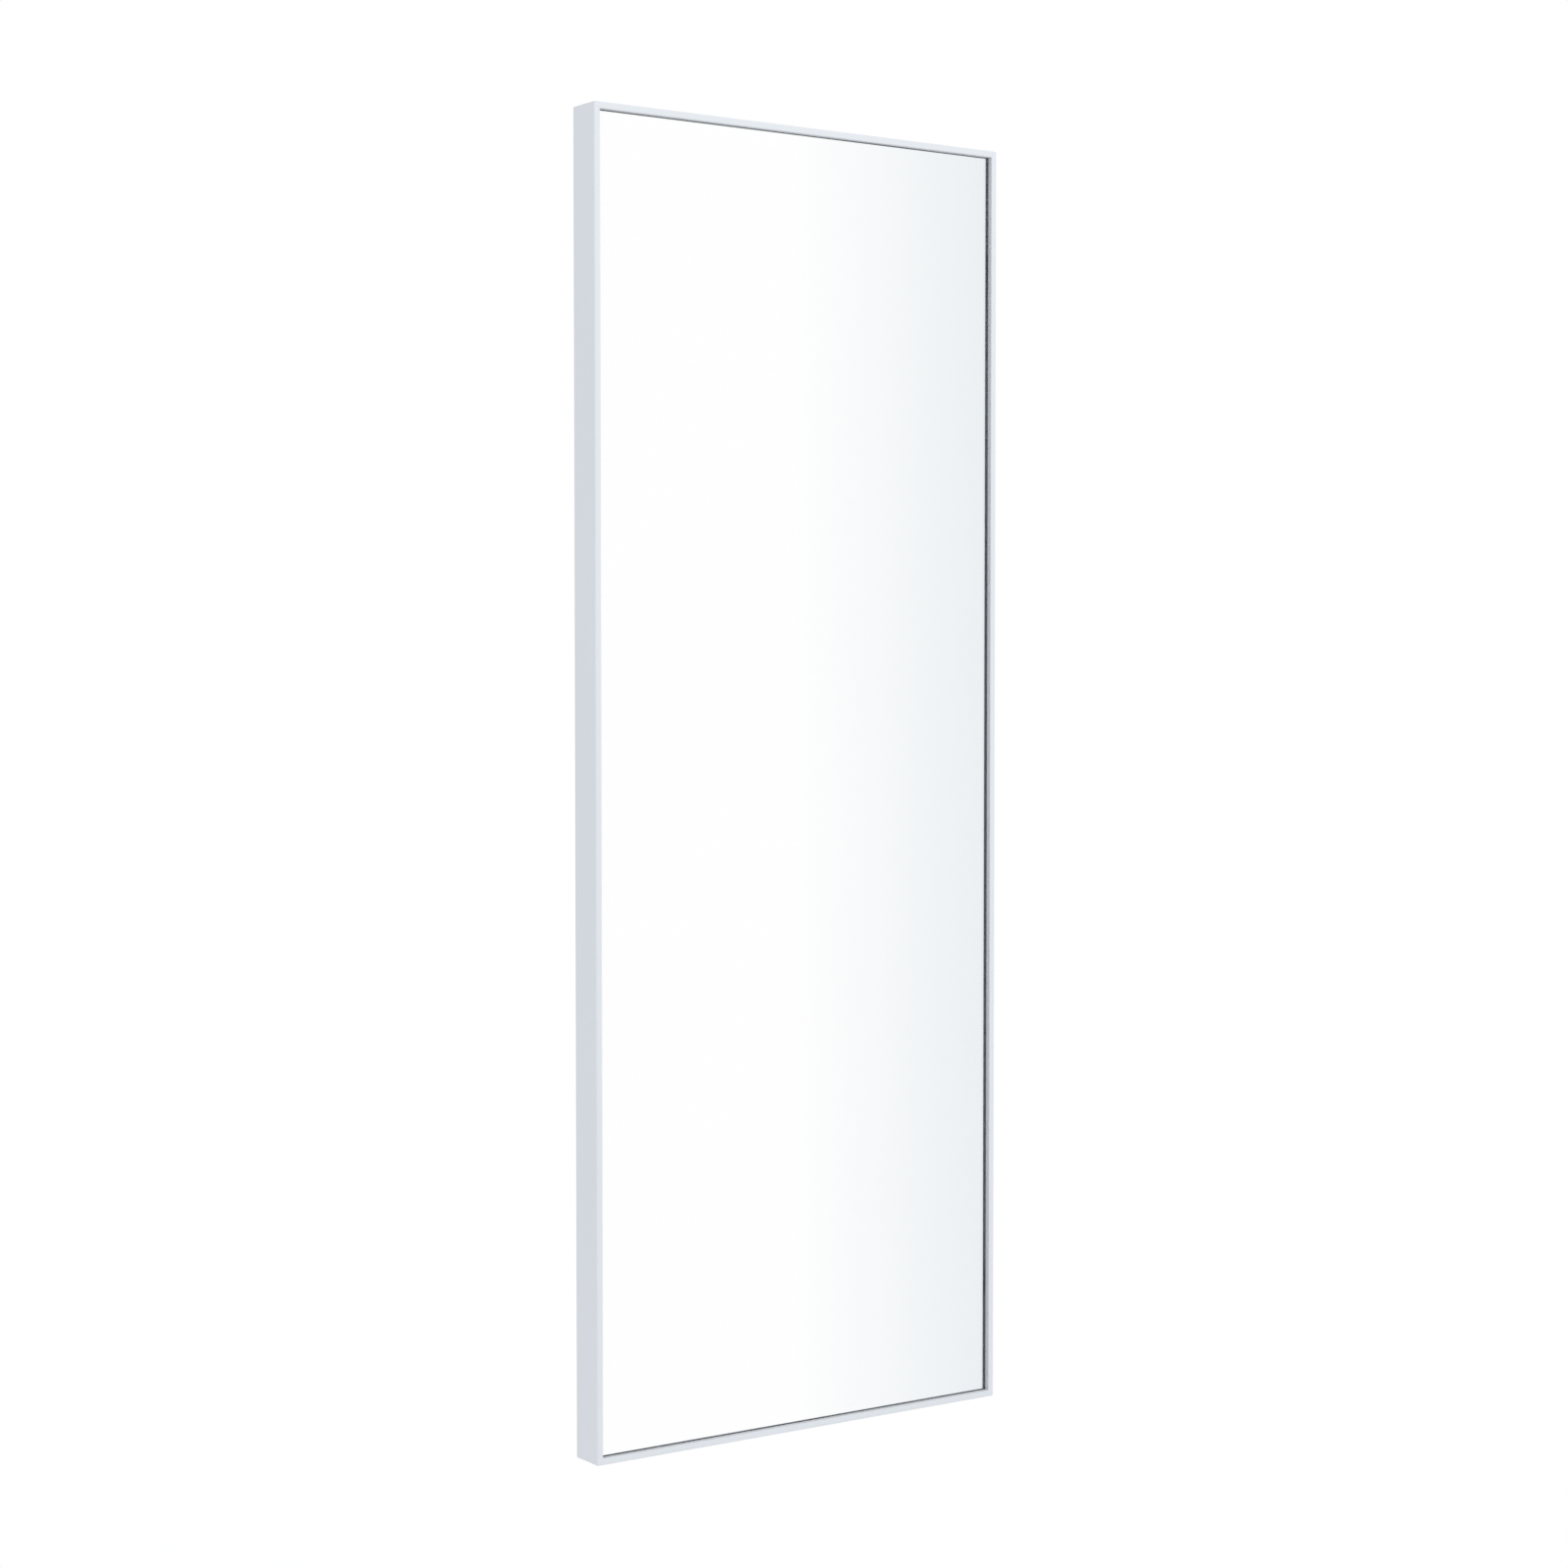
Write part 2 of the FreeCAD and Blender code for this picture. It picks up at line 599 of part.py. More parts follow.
# Frame
left_hanger_holes = [f"({HEIGHT} - Sizes.hanger_drop - {station})" for station in STRAP_HOLES]
right_hanger_holes = [f"(Sizes.hanger_drop + {station})" for station in STRAP_HOLES]
frame_member("left_stile", HEIGHT, 0, LEFT, BOTTOM, left_hanger_holes)
frame_member("right_stile", HEIGHT, 180, RIGHT, TOP, right_hanger_holes)
frame_member("top_rail", WIDTH, 90, LEFT, TOP)
frame_member("bottom_rail", WIDTH, 270, RIGHT, BOTTOM)
for corner_name in CORNERS:
    corner_cleat(corner_name)
    front_corner_key(corner_name)
across_stations = SCREW_STATIONS + [f"({WIDTH} - {station})" for station in SCREW_STATIONS]
upright_stations = SCREW_STATIONS + [f"({HEIGHT} - {station})" for station in SCREW_STATIONS]
corner_screw_centres = []
for line in (CHAMBER_MIDDLE, f"({WIDTH} - {CHAMBER_MIDDLE})"):
    corner_screw_centres += [(line, station) for station in upright_stations]
for line in (CHAMBER_MIDDLE, f"({HEIGHT} - {CHAMBER_MIDDLE})"):
    corner_screw_centres += [(station, line) for station in across_stations]
screw_set("corner_screws", corner_screw_centres, CHAMBER_END)

# Glass and backing, front to back
tape_width = f"(Sizes.face_width - Sizes.tape_setback - {PACK_EDGE})"
strips("glazing_tape", "Sizes.tape_thickness", TAPE_BACK, PACK_EDGE, tape_width, PACK_EDGE)
mirror_glass()
sheet_of("safety_film", "Sizes.film_thickness", FILM_BACK)
sheet_of("foam_sheet", "Sizes.foam_thickness", FOAM_BACK)
sheet_of("backboard", "Sizes.board_thickness", BOARD_BACK)
gasket_start = f"({PACK_EDGE} + Sizes.gasket_inset)"
strips("backing_gasket", "Sizes.gasket_thickness", GASKET_BACK, gasket_start,
       "Sizes.gasket_width", gasket_start)
setting_blocks()

# Hangers
for side_name in SIDE_POSITIONS:
    hanger_strap(side_name)
    hanger_ring(side_name)
    hanger_nut_plate(side_name)
hanger_screw_centres = []
for line in (STRAP_INSET, f"({WIDTH} - {STRAP_INSET})"):
    hanger_screw_centres += [(line, height) for height in left_hanger_holes]
screw_set("hanger_screws", hanger_screw_centres, f"({CHAMBER_END} + Sizes.strap_thickness)")

doc.recompute()
faults = [thing.Label for thing in doc.Objects if {"Invalid", "Error"} & set(thing.State)]
faults += [part.Label for part in sub_parts if part.Shape.isNull() or not part.Shape.isValid()]
if faults:
    raise RuntimeError(f"not built: {', '.join(faults)}")
os.makedirs("parts", exist_ok=True)
for part in sub_parts:
    part.Shape.exportStep(os.path.join("parts", f"{part.Label}.step"))
    print(f"{part.Label}: {len(part.Shape.Solids)} solid(s), {part.Shape.Volume / 1000:.2f} cm3")
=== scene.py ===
import math
import bmesh
import bpy
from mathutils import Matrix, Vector


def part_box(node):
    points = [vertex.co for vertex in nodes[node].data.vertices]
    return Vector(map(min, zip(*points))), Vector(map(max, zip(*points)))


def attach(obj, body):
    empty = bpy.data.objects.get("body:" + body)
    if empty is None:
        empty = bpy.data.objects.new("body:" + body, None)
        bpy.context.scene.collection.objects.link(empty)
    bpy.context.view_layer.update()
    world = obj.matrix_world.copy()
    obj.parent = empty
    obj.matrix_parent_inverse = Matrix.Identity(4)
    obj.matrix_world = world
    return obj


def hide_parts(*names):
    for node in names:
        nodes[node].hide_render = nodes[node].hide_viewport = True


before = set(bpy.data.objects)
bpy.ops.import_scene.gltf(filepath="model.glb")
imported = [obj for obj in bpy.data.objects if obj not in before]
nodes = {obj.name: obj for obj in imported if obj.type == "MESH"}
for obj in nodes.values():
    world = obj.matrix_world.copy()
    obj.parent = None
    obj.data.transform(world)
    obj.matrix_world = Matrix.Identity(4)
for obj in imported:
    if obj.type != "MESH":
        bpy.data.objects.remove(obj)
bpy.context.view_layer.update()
scene = bpy.context.scene

# Frame members: four mitred lengths of one hollow aluminium extrusion, powder coated a cool white.
# A slim front tube makes the face and the lip over the glass, a chamber behind takes the cleats,
# and a skirt ends in the rim on the wall. The coating eases each edge, a hairline marks each mitre.
MM = 0.001
half_width = 300 * MM
half_height = 800 * MM
frame_depth = 47 * MM
stile_length = 2 * half_height / MM
rail_length = 2 * half_width / MM

# The section in millimetres: in from the outer side, back from the face, and the edge's radius
section_corners = [
    (0, 0, 2.0), (8.4, 0, 1.2), (8.4, 6.4, 0.25), (1.8, 6.4, 0.2), (1.8, 18, 0.2), (24, 18, 0.3),
    (24, 38.6, 0.3), (1.8, 38.6, 0.3), (1.8, 45, 0.2), (4, 45, 0.2), (4, 47, 0.3), (0, 47, 0.5),
]
front_tube = [(1.8, 1.6), (6.8, 1.6), (6.8, 4.8), (1.8, 4.8)]
rear_chamber = [(1.8, 19.6), (22.4, 19.6), (22.4, 37), (1.8, 37)]
flange_end_corner = 7
chamber_flange_side = 3
flange_outside, flange_inside = 38.6, 37
edge_steps = 6
corner_round = 2.5
corner_steps = 5
mitre_easing = 0.1
mitre_easing_length = 1.4 * mitre_easing
corner_screw_line = 12.1
corner_screw_stations = [36, 58]
hanger_screw_line = 16.5
hanger_screw_stations = [1250, 1235]
screw_hole_radius = 2.2
screw_hole_sides = 24


def eased_outline(corners):
    """Points of an outline with rounded corners, in order, each with its outward direction."""
    points = []
    count = len(corners)
    for index, (across, back, radius) in enumerate(corners):
        corner = Vector((across, back))
        to_last = (Vector(corners[index - 1][:2]) - corner).normalized()
        to_next = (Vector(corners[(index + 1) % count][:2]) - corner).normalized()
        middle = corner + (to_last + to_next) * radius
        turn = to_next.x * to_last.y - to_next.y * to_last.x
        side = 1 if turn > 0 else -1
        for step in range(edge_steps + 1):
            angle = math.pi / 2 * step / edge_steps
            spoke = -(to_next * math.cos(angle) + to_last * math.sin(angle))
            points.append((middle + spoke * radius, spoke * side))
    return points


def full_turn(sides):
    """Cosine and sine at each step of a full turn."""
    turns = [math.tau * step / sides for step in range(sides)]
    return [(math.cos(turn), math.sin(turn)) for turn in turns]


def ring_edges(bm, ring):
    """Edges of a closed ring of vertices, made where they are missing."""
    edges = []
    for index, vertex in enumerate(ring):
        pair = (ring[index - 1], vertex)
        edges.append(bm.edges.get(pair) or bm.edges.new(pair))
    return edges


def strip_corners(first, second, index):
    """Four vertices of one strip between two rings of as many vertices."""
    return first[index - 1], first[index], second[index], second[index - 1]


def skin(bm, first, second, leave_out=()):
    """Quads between two rings of as many vertices."""
    for index in range(len(first)):
        if index not in leave_out:
            bm.faces.new(strip_corners(first, second, index))


def fill_round(bm, border, holes):
    """Flat face inside a border and round some holes, all given as rings of vertices."""
    edges = ring_edges(bm, border)
    for hole in holes:
        edges += ring_edges(bm, hole)
    bmesh.ops.triangle_fill(bm, use_beauty=True, edges=edges)


def finished(name, bm, *materials, sharp_from=35):
    """Object from a mesh in place: flat faces stay flat, rounded edges are shaded round."""
    bmesh.ops.recalc_face_normals(bm, faces=bm.faces)
    mesh = bpy.data.meshes.new(name)
    bm.to_mesh(mesh)
    bm.free()
    for material in materials:
        mesh.materials.append(material)
    mesh.shade_smooth()
    mesh.set_sharp_from_angle(angle=math.radians(sharp_from))
    piece = bpy.data.objects.new(name, mesh)
    scene.collection.objects.link(piece)
    weighting = piece.modifiers.new("flat_faces_lead", "WEIGHTED_NORMAL")
    weighting.keep_sharp = True
    return piece


def rounded_over(inward, along):
    """Point moved in from the sharp outer corner of the frame to the round one of the coating."""
    if inward >= corner_round or along >= corner_round:
        return inward, along
    corner = Vector((corner_round - inward, corner_round - along))
    spoke = corner.normalized() * max(corner.x, corner.y)
    return corner_round - spoke.x, corner_round - spoke.y


def painted_member(name, length, place, holes):
    """One mitred length: place turns millimetres in, back and along into a point."""
    bm = bmesh.new()
    outline = eased_outline(section_corners)

    def ring(points, gap, far_end, round_corner=True):
        """Section cut along the mitre at an end, some way from it."""
        vertices = []
        for point in points:
            inward, along = point.x, point.x + gap
            if round_corner:
                inward, along = rounded_over(inward, along)
            along = length - along if far_end else along
            vertices.append(bm.verts.new(place(inward, point.y, along)))
        return vertices

    drawn_in = [point - out * mitre_easing for point, out in outline]
    full = [point for point, out in outline]
    corner_shares = [step / corner_steps for step in range(corner_steps + 1)]
    gaps = [mitre_easing_length + corner_round * share for share in corner_shares]
    outer = [ring(drawn_in, 0, False)] + [ring(full, gap, False) for gap in gaps]
    outer += [ring(full, gap, True) for gap in reversed(gaps)] + [ring(drawn_in, 0, True)]
    long_run = len(gaps)
    flange_strip = flange_end_corner * (edge_steps + 1)
    for count, (near_ring, far_ring) in enumerate(zip(outer, outer[1:])):
        skin(bm, near_ring, far_ring, leave_out=[flange_strip] if count == long_run else [])
    hollows = []
    for hollow in (front_tube, rear_chamber):
        points = [Vector(corner) for corner in hollow]
        hollows.append([ring(points, 0, far_end, round_corner=False) for far_end in (False, True)])
    tube_ends, chamber_ends = hollows
    skin(bm, *tube_ends)
    skin(bm, *chamber_ends, leave_out=[chamber_flange_side])
    for end, cap in ((0, outer[0]), (1, outer[-1])):
        fill_round(bm, cap, [hollow[end] for hollow in hollows])

    # Screw holes through the flange: the two faces round them, and the wall of each hole
    hole_rings = {}
    for level in (flange_outside, flange_inside):
        hole_rings[level] = [
            [bm.verts.new(place(
                inward + screw_hole_radius * x, level, along + screw_hole_radius * y))
             for x, y in full_turn(screw_hole_sides)] for inward, along in holes]
    outside = strip_corners(outer[long_run], outer[long_run + 1], flange_strip)
    inside = strip_corners(*chamber_ends, chamber_flange_side)
    fill_round(bm, outside, hole_rings[flange_outside])
    fill_round(bm, inside, hole_rings[flange_inside])
    for outside_ring, inside_ring in zip(hole_rings[flange_outside], hole_rings[flange_inside]):
        skin(bm, outside_ring, inside_ring)
    return finished(name, bm, powder_coat)


def connect(tree, value, socket):
    """Link from an output to a socket, or a plain value set on it."""
    if isinstance(value, bpy.types.NodeSocket):
        tree.links.new(value, socket)
    else:
        socket.default_value = value


def feed(tree, node, **inputs):
    """Outputs and plain values on the named inputs of a node."""
    for name, value in inputs.items():
        connect(tree, value, node.inputs[name.replace("_", " ")])
    return node


def add(tree, kind, settings=None, **inputs):
    """New shader or geometry node with its settings and inputs."""
    node = tree.nodes.new(kind)
    for name, value in (settings or {}).items():
        setattr(node, name, value)
    return feed(tree, node, **inputs)


def new_group(name, kind, inputs, outputs):
    """Node group with named sockets, and its two end nodes."""
    group = bpy.data.node_groups.new(name, kind)
    for socket, socket_kind, value in inputs:
        made = group.interface.new_socket(socket, in_out="INPUT", socket_type=socket_kind)
        if value is not None:
            made.default_value = value
    for socket, socket_kind in outputs:
        group.interface.new_socket(socket, in_out="OUTPUT", socket_type=socket_kind)
    return group, group.nodes.new("NodeGroupInput"), group.nodes.new("NodeGroupOutput")


# Mottle is shared by most of the finishes: slow drifts of tone, and a fine pebbled relief
mottle, mottle_in, mottle_out = new_group(
    "mottle", "ShaderNodeTree",
    [("Vector", "NodeSocketVector", None), ("Drift Scale", "NodeSocketFloat", 6.0),
     ("Grain Scale", "NodeSocketFloat", 800.0)],
    [("Tone", "NodeSocketFloat"), ("Height", "NodeSocketFloat")])
mottle_noises = [("Drift Scale", 3.0, 0.55, "Tone"), ("Grain Scale", 2.0, 0.5, "Height")]
for scale, detail, roughness, result in mottle_noises:
    noise = add(
        mottle, "ShaderNodeTexNoise", Vector=mottle_in.outputs["Vector"],
        Scale=mottle_in.outputs[scale], Detail=detail, Roughness=roughness)
    mottle.links.new(noise.outputs["Fac"], mottle_out.inputs[result])
noise_low, noise_high = 0.3, 0.7


def mottle_at(tree, where, drift_scale, grain_scale):
    """Outputs of the mottle at a place."""
    return add(
        tree, "ShaderNodeGroup", {"node_tree": mottle},
        Vector=where, Drift_Scale=drift_scale, Grain_Scale=grain_scale).outputs


def tone_ramp(tree, share, stops):
    """Colour that goes through the stops, each a place and a colour, as share goes from 0 to 1."""
    ramp = add(tree, "ShaderNodeValToRGB", Fac=share)
    elements = ramp.color_ramp.elements
    for count, (place, colour) in enumerate(stops):
        stop = elements[count] if count < 2 else elements.new(place)
        stop.position = place
        stop.color = (*colour, 1)
    return ramp.outputs["Color"]


def spread(tree, value, from_low, from_high, to_low, to_high):
    """Value carried from one range to another."""
    return add(
        tree, "ShaderNodeMapRange", Value=value, From_Min=from_low, From_Max=from_high,
        To_Min=to_low, To_Max=to_high).outputs["Result"]


def raised(tree, height, distance, strength=1.0):
    """Normal of a surface with a fine relief."""
    bump = add(tree, "ShaderNodeBump", Strength=strength, Distance=distance, Height=height)
    return bump.outputs["Normal"]


def new_material(name, **values):
    """Material with one Principled shader, its plain values, and the object's own coordinates."""
    material = bpy.data.materials.new(name)
    material.use_nodes = True
    tree = material.node_tree
    shader = feed(tree, tree.nodes["Principled BSDF"], **values)
    return material, tree, shader, tree.nodes.new("ShaderNodeTexCoord").outputs["Object"]


def mottled(name, dark, light, roughness, drift_scale, grain_scale, relief, **values):
    """Material that drifts between two tones, with a pebbled surface and uneven gloss."""
    material, tree, shader, where = new_material(name, **values)
    pattern = mottle_at(tree, where, drift_scale, grain_scale)
    feed(
        tree, shader,
        Base_Color=tone_ramp(tree, pattern["Tone"], [(noise_low, dark), (noise_high, light)]),
        Roughness=spread(tree, pattern["Height"], noise_low, noise_high, *roughness),
        Normal=raised(tree, pattern["Height"], relief))
    return material


powder_coat = mottled(
    "white_powder_coat", (0.795, 0.828, 0.858), (0.81, 0.842, 0.868), (0.38, 0.5),
    drift_scale=5.0, grain_scale=620.0, relief=0.07 * MM)


def corner_holes(length):
    """Places of the corner screws across and along a member, at one end and then at the other."""
    near = [(corner_screw_line, along) for along in corner_screw_stations]
    return near + [(corner_screw_line, length - along) for along in corner_screw_stations]


rail_holes = corner_holes(rail_length)
stile_holes = corner_holes(stile_length)
stile_holes += [(hanger_screw_line, along) for along in hanger_screw_stations]
members = {
    "left_stile": (stile_length, stile_holes, lambda inward, back, along: Vector((
        -half_width + inward * MM, -frame_depth + back * MM, -half_height + along * MM))),
    "right_stile": (stile_length, stile_holes, lambda inward, back, along: Vector((
        half_width - inward * MM, -frame_depth + back * MM, -half_height + along * MM))),
    "top_rail": (rail_length, rail_holes, lambda inward, back, along: Vector((
        -half_width + along * MM, -frame_depth + back * MM, half_height - inward * MM))),
    "bottom_rail": (rail_length, rail_holes, lambda inward, back, along: Vector((
        -half_width + along * MM, -frame_depth + back * MM, -half_height + inward * MM))),
}
for node, (length, holes, place) in members.items():
    member = painted_member(f"painted_{node}", length, place, holes)
    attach(member, "frame")
    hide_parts(node)
    member.visible_transmission = False

# Front corner keys: small L-shaped pieces of galvanised steel in the front tube, one to a corner.
# They slide in when the frame is put together and hold the two faces of a mitre level.
corners = ["bottom_left", "top_left", "top_right", "bottom_right"]
galvanised_dark = (0.50, 0.515, 0.53)
galvanised_light = (0.68, 0.69, 0.70)
galvanised_gloss = (0.32, 0.52)
spangle_scale = 120.0
spangle_relief = 0.02 * MM

galvanised, steel_tree, steel_shader, steel_where = new_material("galvanised_steel", Metallic=1.0)
spangle = add(
    steel_tree, "ShaderNodeTexVoronoi", {"feature": "F1"},
    Vector=steel_where, Scale=spangle_scale, Randomness=1.0)
crystal = add(steel_tree, "ShaderNodeSeparateColor", Color=spangle.outputs["Color"]).outputs
feed(
    steel_tree, steel_shader,
    Base_Color=tone_ramp(steel_tree, crystal["Red"], [(0, galvanised_dark), (1, galvanised_light)]),
    Roughness=spread(steel_tree, crystal["Green"], 0, 1, *galvanised_gloss),
    Normal=raised(steel_tree, crystal["Blue"], spangle_relief, strength=0.6))
for corner in corners:
    key = nodes[f"front_corner_key_{corner}"]
    key.material_slots[0].material = galvanised
    key.visible_transmission = False

# Corner cleats: heavy L-shaped castings of aluminium, left as they come out of the die.
# One fills the rear chamber round each corner, and the corner screws draw the mitre shut on it.
cast_aluminium = mottled(
    "cast_aluminium", (0.55, 0.56, 0.57), (0.67, 0.68, 0.69), (0.42, 0.6),
    drift_scale=45.0, grain_scale=1500.0, relief=0.06 * MM, Metallic=1.0)
for corner in corners:
    nodes[f"corner_cleat_{corner}"].material_slots[0].material = cast_aluminium

# Corner screws: pan-head machine screws of zinc-plated steel with a cross recess, four to a corner.
# They go through the rear flange into the cleats, and each is left turned as it came tight.
head_diameter = 7.6 * MM
head_height = 2.6 * MM
head_sides = 48
head_rings = 16
head_flatness = 0.58
shank_diameter = 4.0 * MM
shank_length = 10.0 * MM
core_sides = 24
thread_pitch = 0.7 * MM
thread_depth = 0.32 * MM
thread_steps = 20
recess_width = 4.4 * MM
recess_depth = 1.5 * MM
wing_thickness_share = 0.24
wing_taper_share = 0.5
weld_distance = 0.01 * MM
screw_sharp_angle = 32
corner_screw_seed = 11

zinc_plate = mottled(
    "zinc_plated_steel", (0.47, 0.49, 0.515), (0.615, 0.63, 0.645), (0.2, 0.36),
    drift_scale=90.0, grain_scale=1900.0, relief=0.012 * MM, Metallic=1.0)

pan_head_screws, screws_in, screws_out = new_group(
    "pan_head_screws", "GeometryNodeTree",
    [("Seats", "NodeSocketGeometry", None), ("Head Diameter", "NodeSocketFloat", head_diameter),
     ("Head Height", "NodeSocketFloat", head_height),
     ("Shank Diameter", "NodeSocketFloat", shank_diameter),
     ("Shank Length", "NodeSocketFloat", shank_length),
     ("Thread Pitch", "NodeSocketFloat", thread_pitch),
     ("Thread Depth", "NodeSocketFloat", thread_depth),
     ("Recess Width", "NodeSocketFloat", recess_width),
     ("Recess Depth", "NodeSocketFloat", recess_depth), ("Seed", "NodeSocketInt", 0),
     ("Plating", "NodeSocketMaterial", None)],
    [("Screws", "NodeSocketGeometry")])
for_screw = screws_in.outputs


def maths(tree, operation, *values):
    """Output of a maths node on outputs and plain numbers."""
    node = add(tree, "ShaderNodeMath", {"operation": operation})
    for socket, value in zip(node.inputs, values):
        connect(tree, value, socket)
    return node.outputs[0]


def screw_maths(operation, *values):
    """Maths in the screw tree."""
    return maths(pan_head_screws, operation, *values)


def screw_part(kind, settings=None, **inputs):
    """Node of the screw tree."""
    return add(pan_head_screws, kind, settings, **inputs)


def screw_point(x, y, z):
    """Point in the screw tree from three outputs or plain numbers."""
    return screw_part("ShaderNodeCombineXYZ", X=x, Y=y, Z=z).outputs[0]


def each_point():
    """X, Y and Z of every point that a node of the screw tree moves."""
    point = screw_part("GeometryNodeInputPosition").outputs["Position"]
    return screw_part("ShaderNodeSeparateXYZ", Vector=point).outputs


def screw_join(*parts):
    """Parts of a screw as one geometry."""
    joined = screw_part("GeometryNodeJoinGeometry")
    for part in parts:
        pan_head_screws.links.new(part, joined.inputs[0])
    return joined.outputs["Geometry"]


# The head is a sheet rolled into a flat dome: round the axis one way, from crown to rim the other
head_radius = screw_maths("MULTIPLY", for_screw["Head Diameter"], 0.5)
head_sheet = screw_part(
    "GeometryNodeMeshGrid", Size_X=1.0, Size_Y=1.0,
    Vertices_X=head_sides + 1, Vertices_Y=head_rings)
on_sheet = each_point()
round_axis = screw_maths("MULTIPLY", screw_maths("ADD", on_sheet["X"], 0.5), math.tau)
from_crown = screw_maths("MULTIPLY", screw_maths("ADD", on_sheet["Y"], 0.5), math.pi / 2)


def dome_share(wave):
    """Share of the head's full reach or rise between crown and rim."""
    return screw_maths(
        "POWER", screw_maths("MAXIMUM", screw_maths(wave, from_crown), 0.0), head_flatness)


dome_reach = screw_maths("MULTIPLY", dome_share("SINE"), head_radius)
dome_rise = screw_maths("MULTIPLY", dome_share("COSINE"), for_screw["Head Height"])
dome = screw_part(
    "GeometryNodeSetPosition", Geometry=head_sheet.outputs["Mesh"], Position=screw_point(
        screw_maths("MULTIPLY", screw_maths("COSINE", round_axis), dome_reach),
        screw_maths("MULTIPLY", screw_maths("SINE", round_axis), dome_reach), dome_rise))
under_head = screw_part(
    "GeometryNodeMeshCircle", {"fill_type": "NGON"}, Vertices=head_sides, Radius=head_radius)
closed_head = screw_part(
    "GeometryNodeMergeByDistance", Distance=weld_distance,
    Geometry=screw_join(dome.outputs["Geometry"], under_head.outputs["Mesh"]))

# The cross recess is pressed by two tapering wings, set between the facets of the head
wing = screw_part("GeometryNodeMeshCube", Size=screw_point(
    for_screw["Recess Width"],
    screw_maths("MULTIPLY", for_screw["Recess Width"], wing_thickness_share),
    screw_maths("MULTIPLY", for_screw["Recess Depth"], 2.0)))
on_wing = each_point()
wing_rise = screw_maths("DIVIDE", on_wing["Z"], for_screw["Recess Depth"])
wing_taper = screw_maths("ADD", 1.0, screw_maths("MULTIPLY", wing_rise, wing_taper_share))
tapered_wing = screw_part(
    "GeometryNodeSetPosition", Geometry=wing.outputs["Mesh"], Position=screw_point(
        screw_maths("MULTIPLY", on_wing["X"], wing_taper), on_wing["Y"],
        screw_maths("ADD", on_wing["Z"], for_screw["Head Height"])))
pressed_head = screw_part(
    "GeometryNodeMeshBoolean", {"operation": "DIFFERENCE", "solver": "EXACT"},
    Mesh_1=closed_head.outputs["Geometry"])
half_facet = math.pi / head_sides
for wing_turn in (half_facet, half_facet + math.pi / 2):
    set_wing = screw_part(
        "GeometryNodeTransform", Geometry=tapered_wing.outputs["Geometry"],
        Rotation=(0, 0, wing_turn))
    pan_head_screws.links.new(set_wing.outputs["Geometry"], pressed_head.inputs["Mesh 2"])

# The shank is a core with the thread wound on it, a pitch short of each end
shank_radius = screw_maths("MULTIPLY", for_screw["Shank Diameter"], 0.5)
core_radius = screw_maths("SUBTRACT", shank_radius, for_screw["Thread Depth"])
core = screw_part(
    "GeometryNodeMeshCylinder", Vertices=core_sides, Radius=core_radius,
    Depth=for_screw["Shank Length"])
core_middle = screw_maths("MULTIPLY", for_screw["Shank Length"], -0.5)
set_core = screw_part(
    "GeometryNodeTransform", Geometry=core.outputs["Mesh"],
    Translation=screw_point(0.0, 0.0, core_middle))
two_pitches = screw_maths("MULTIPLY", for_screw["Thread Pitch"], 2.0)
thread_length = screw_maths("SUBTRACT", for_screw["Shank Length"], two_pitches)
helix = screw_part(
    "GeometryNodeCurveSpiral", Resolution=thread_steps, Height=thread_length,
    Rotations=screw_maths("DIVIDE", thread_length, for_screw["Thread Pitch"]),
    Start_Radius=core_radius, End_Radius=core_radius)
upright = screw_part(
    "GeometryNodeSetCurveNormal", {"mode": "Z_UP"}, Curve=helix.outputs["Curve"])
ridge = screw_part(
    "GeometryNodeCurvePrimitiveCircle", Resolution=3, Radius=for_screw["Thread Depth"])
thread = screw_part(
    "GeometryNodeCurveToMesh", Curve=upright.outputs["Curve"],
    Profile_Curve=ridge.outputs["Curve"], Fill_Caps=True)
thread_foot = screw_maths("SUBTRACT", for_screw["Thread Pitch"], for_screw["Shank Length"])
set_thread = screw_part(
    "GeometryNodeTransform", Geometry=thread.outputs["Mesh"],
    Translation=screw_point(0.0, 0.0, thread_foot))

# One screw on each seat, head to the rear, turned about its own axis by chance
screw = screw_join(
    pressed_head.outputs["Mesh"], set_core.outputs["Geometry"], set_thread.outputs["Geometry"])
seats = screw_part("GeometryNodeMeshToPoints", Mesh=for_screw["Seats"])
driven = screw_part(
    "GeometryNodeInstanceOnPoints", Points=seats.outputs["Points"], Instance=screw,
    Rotation=(-math.pi / 2, 0, 0))
chance = screw_part(
    "FunctionNodeRandomValue", {"data_type": "FLOAT"}, Seed=for_screw["Seed"])
most_turn = chance.inputs[3]
most_turn.default_value = math.tau
turned = screw_part(
    "GeometryNodeRotateInstances", Instances=driven.outputs["Instances"],
    Rotation=screw_point(0.0, 0.0, chance.outputs[1]), Local_Space=True)
real = screw_part("GeometryNodeRealizeInstances", Geometry=turned.outputs["Instances"])
plated = screw_part(
    "GeometryNodeSetMaterial", Geometry=real.outputs["Geometry"], Material=for_screw["Plating"])
pan_head_screws.links.new(plated.outputs["Geometry"], screws_out.inputs["Screws"])


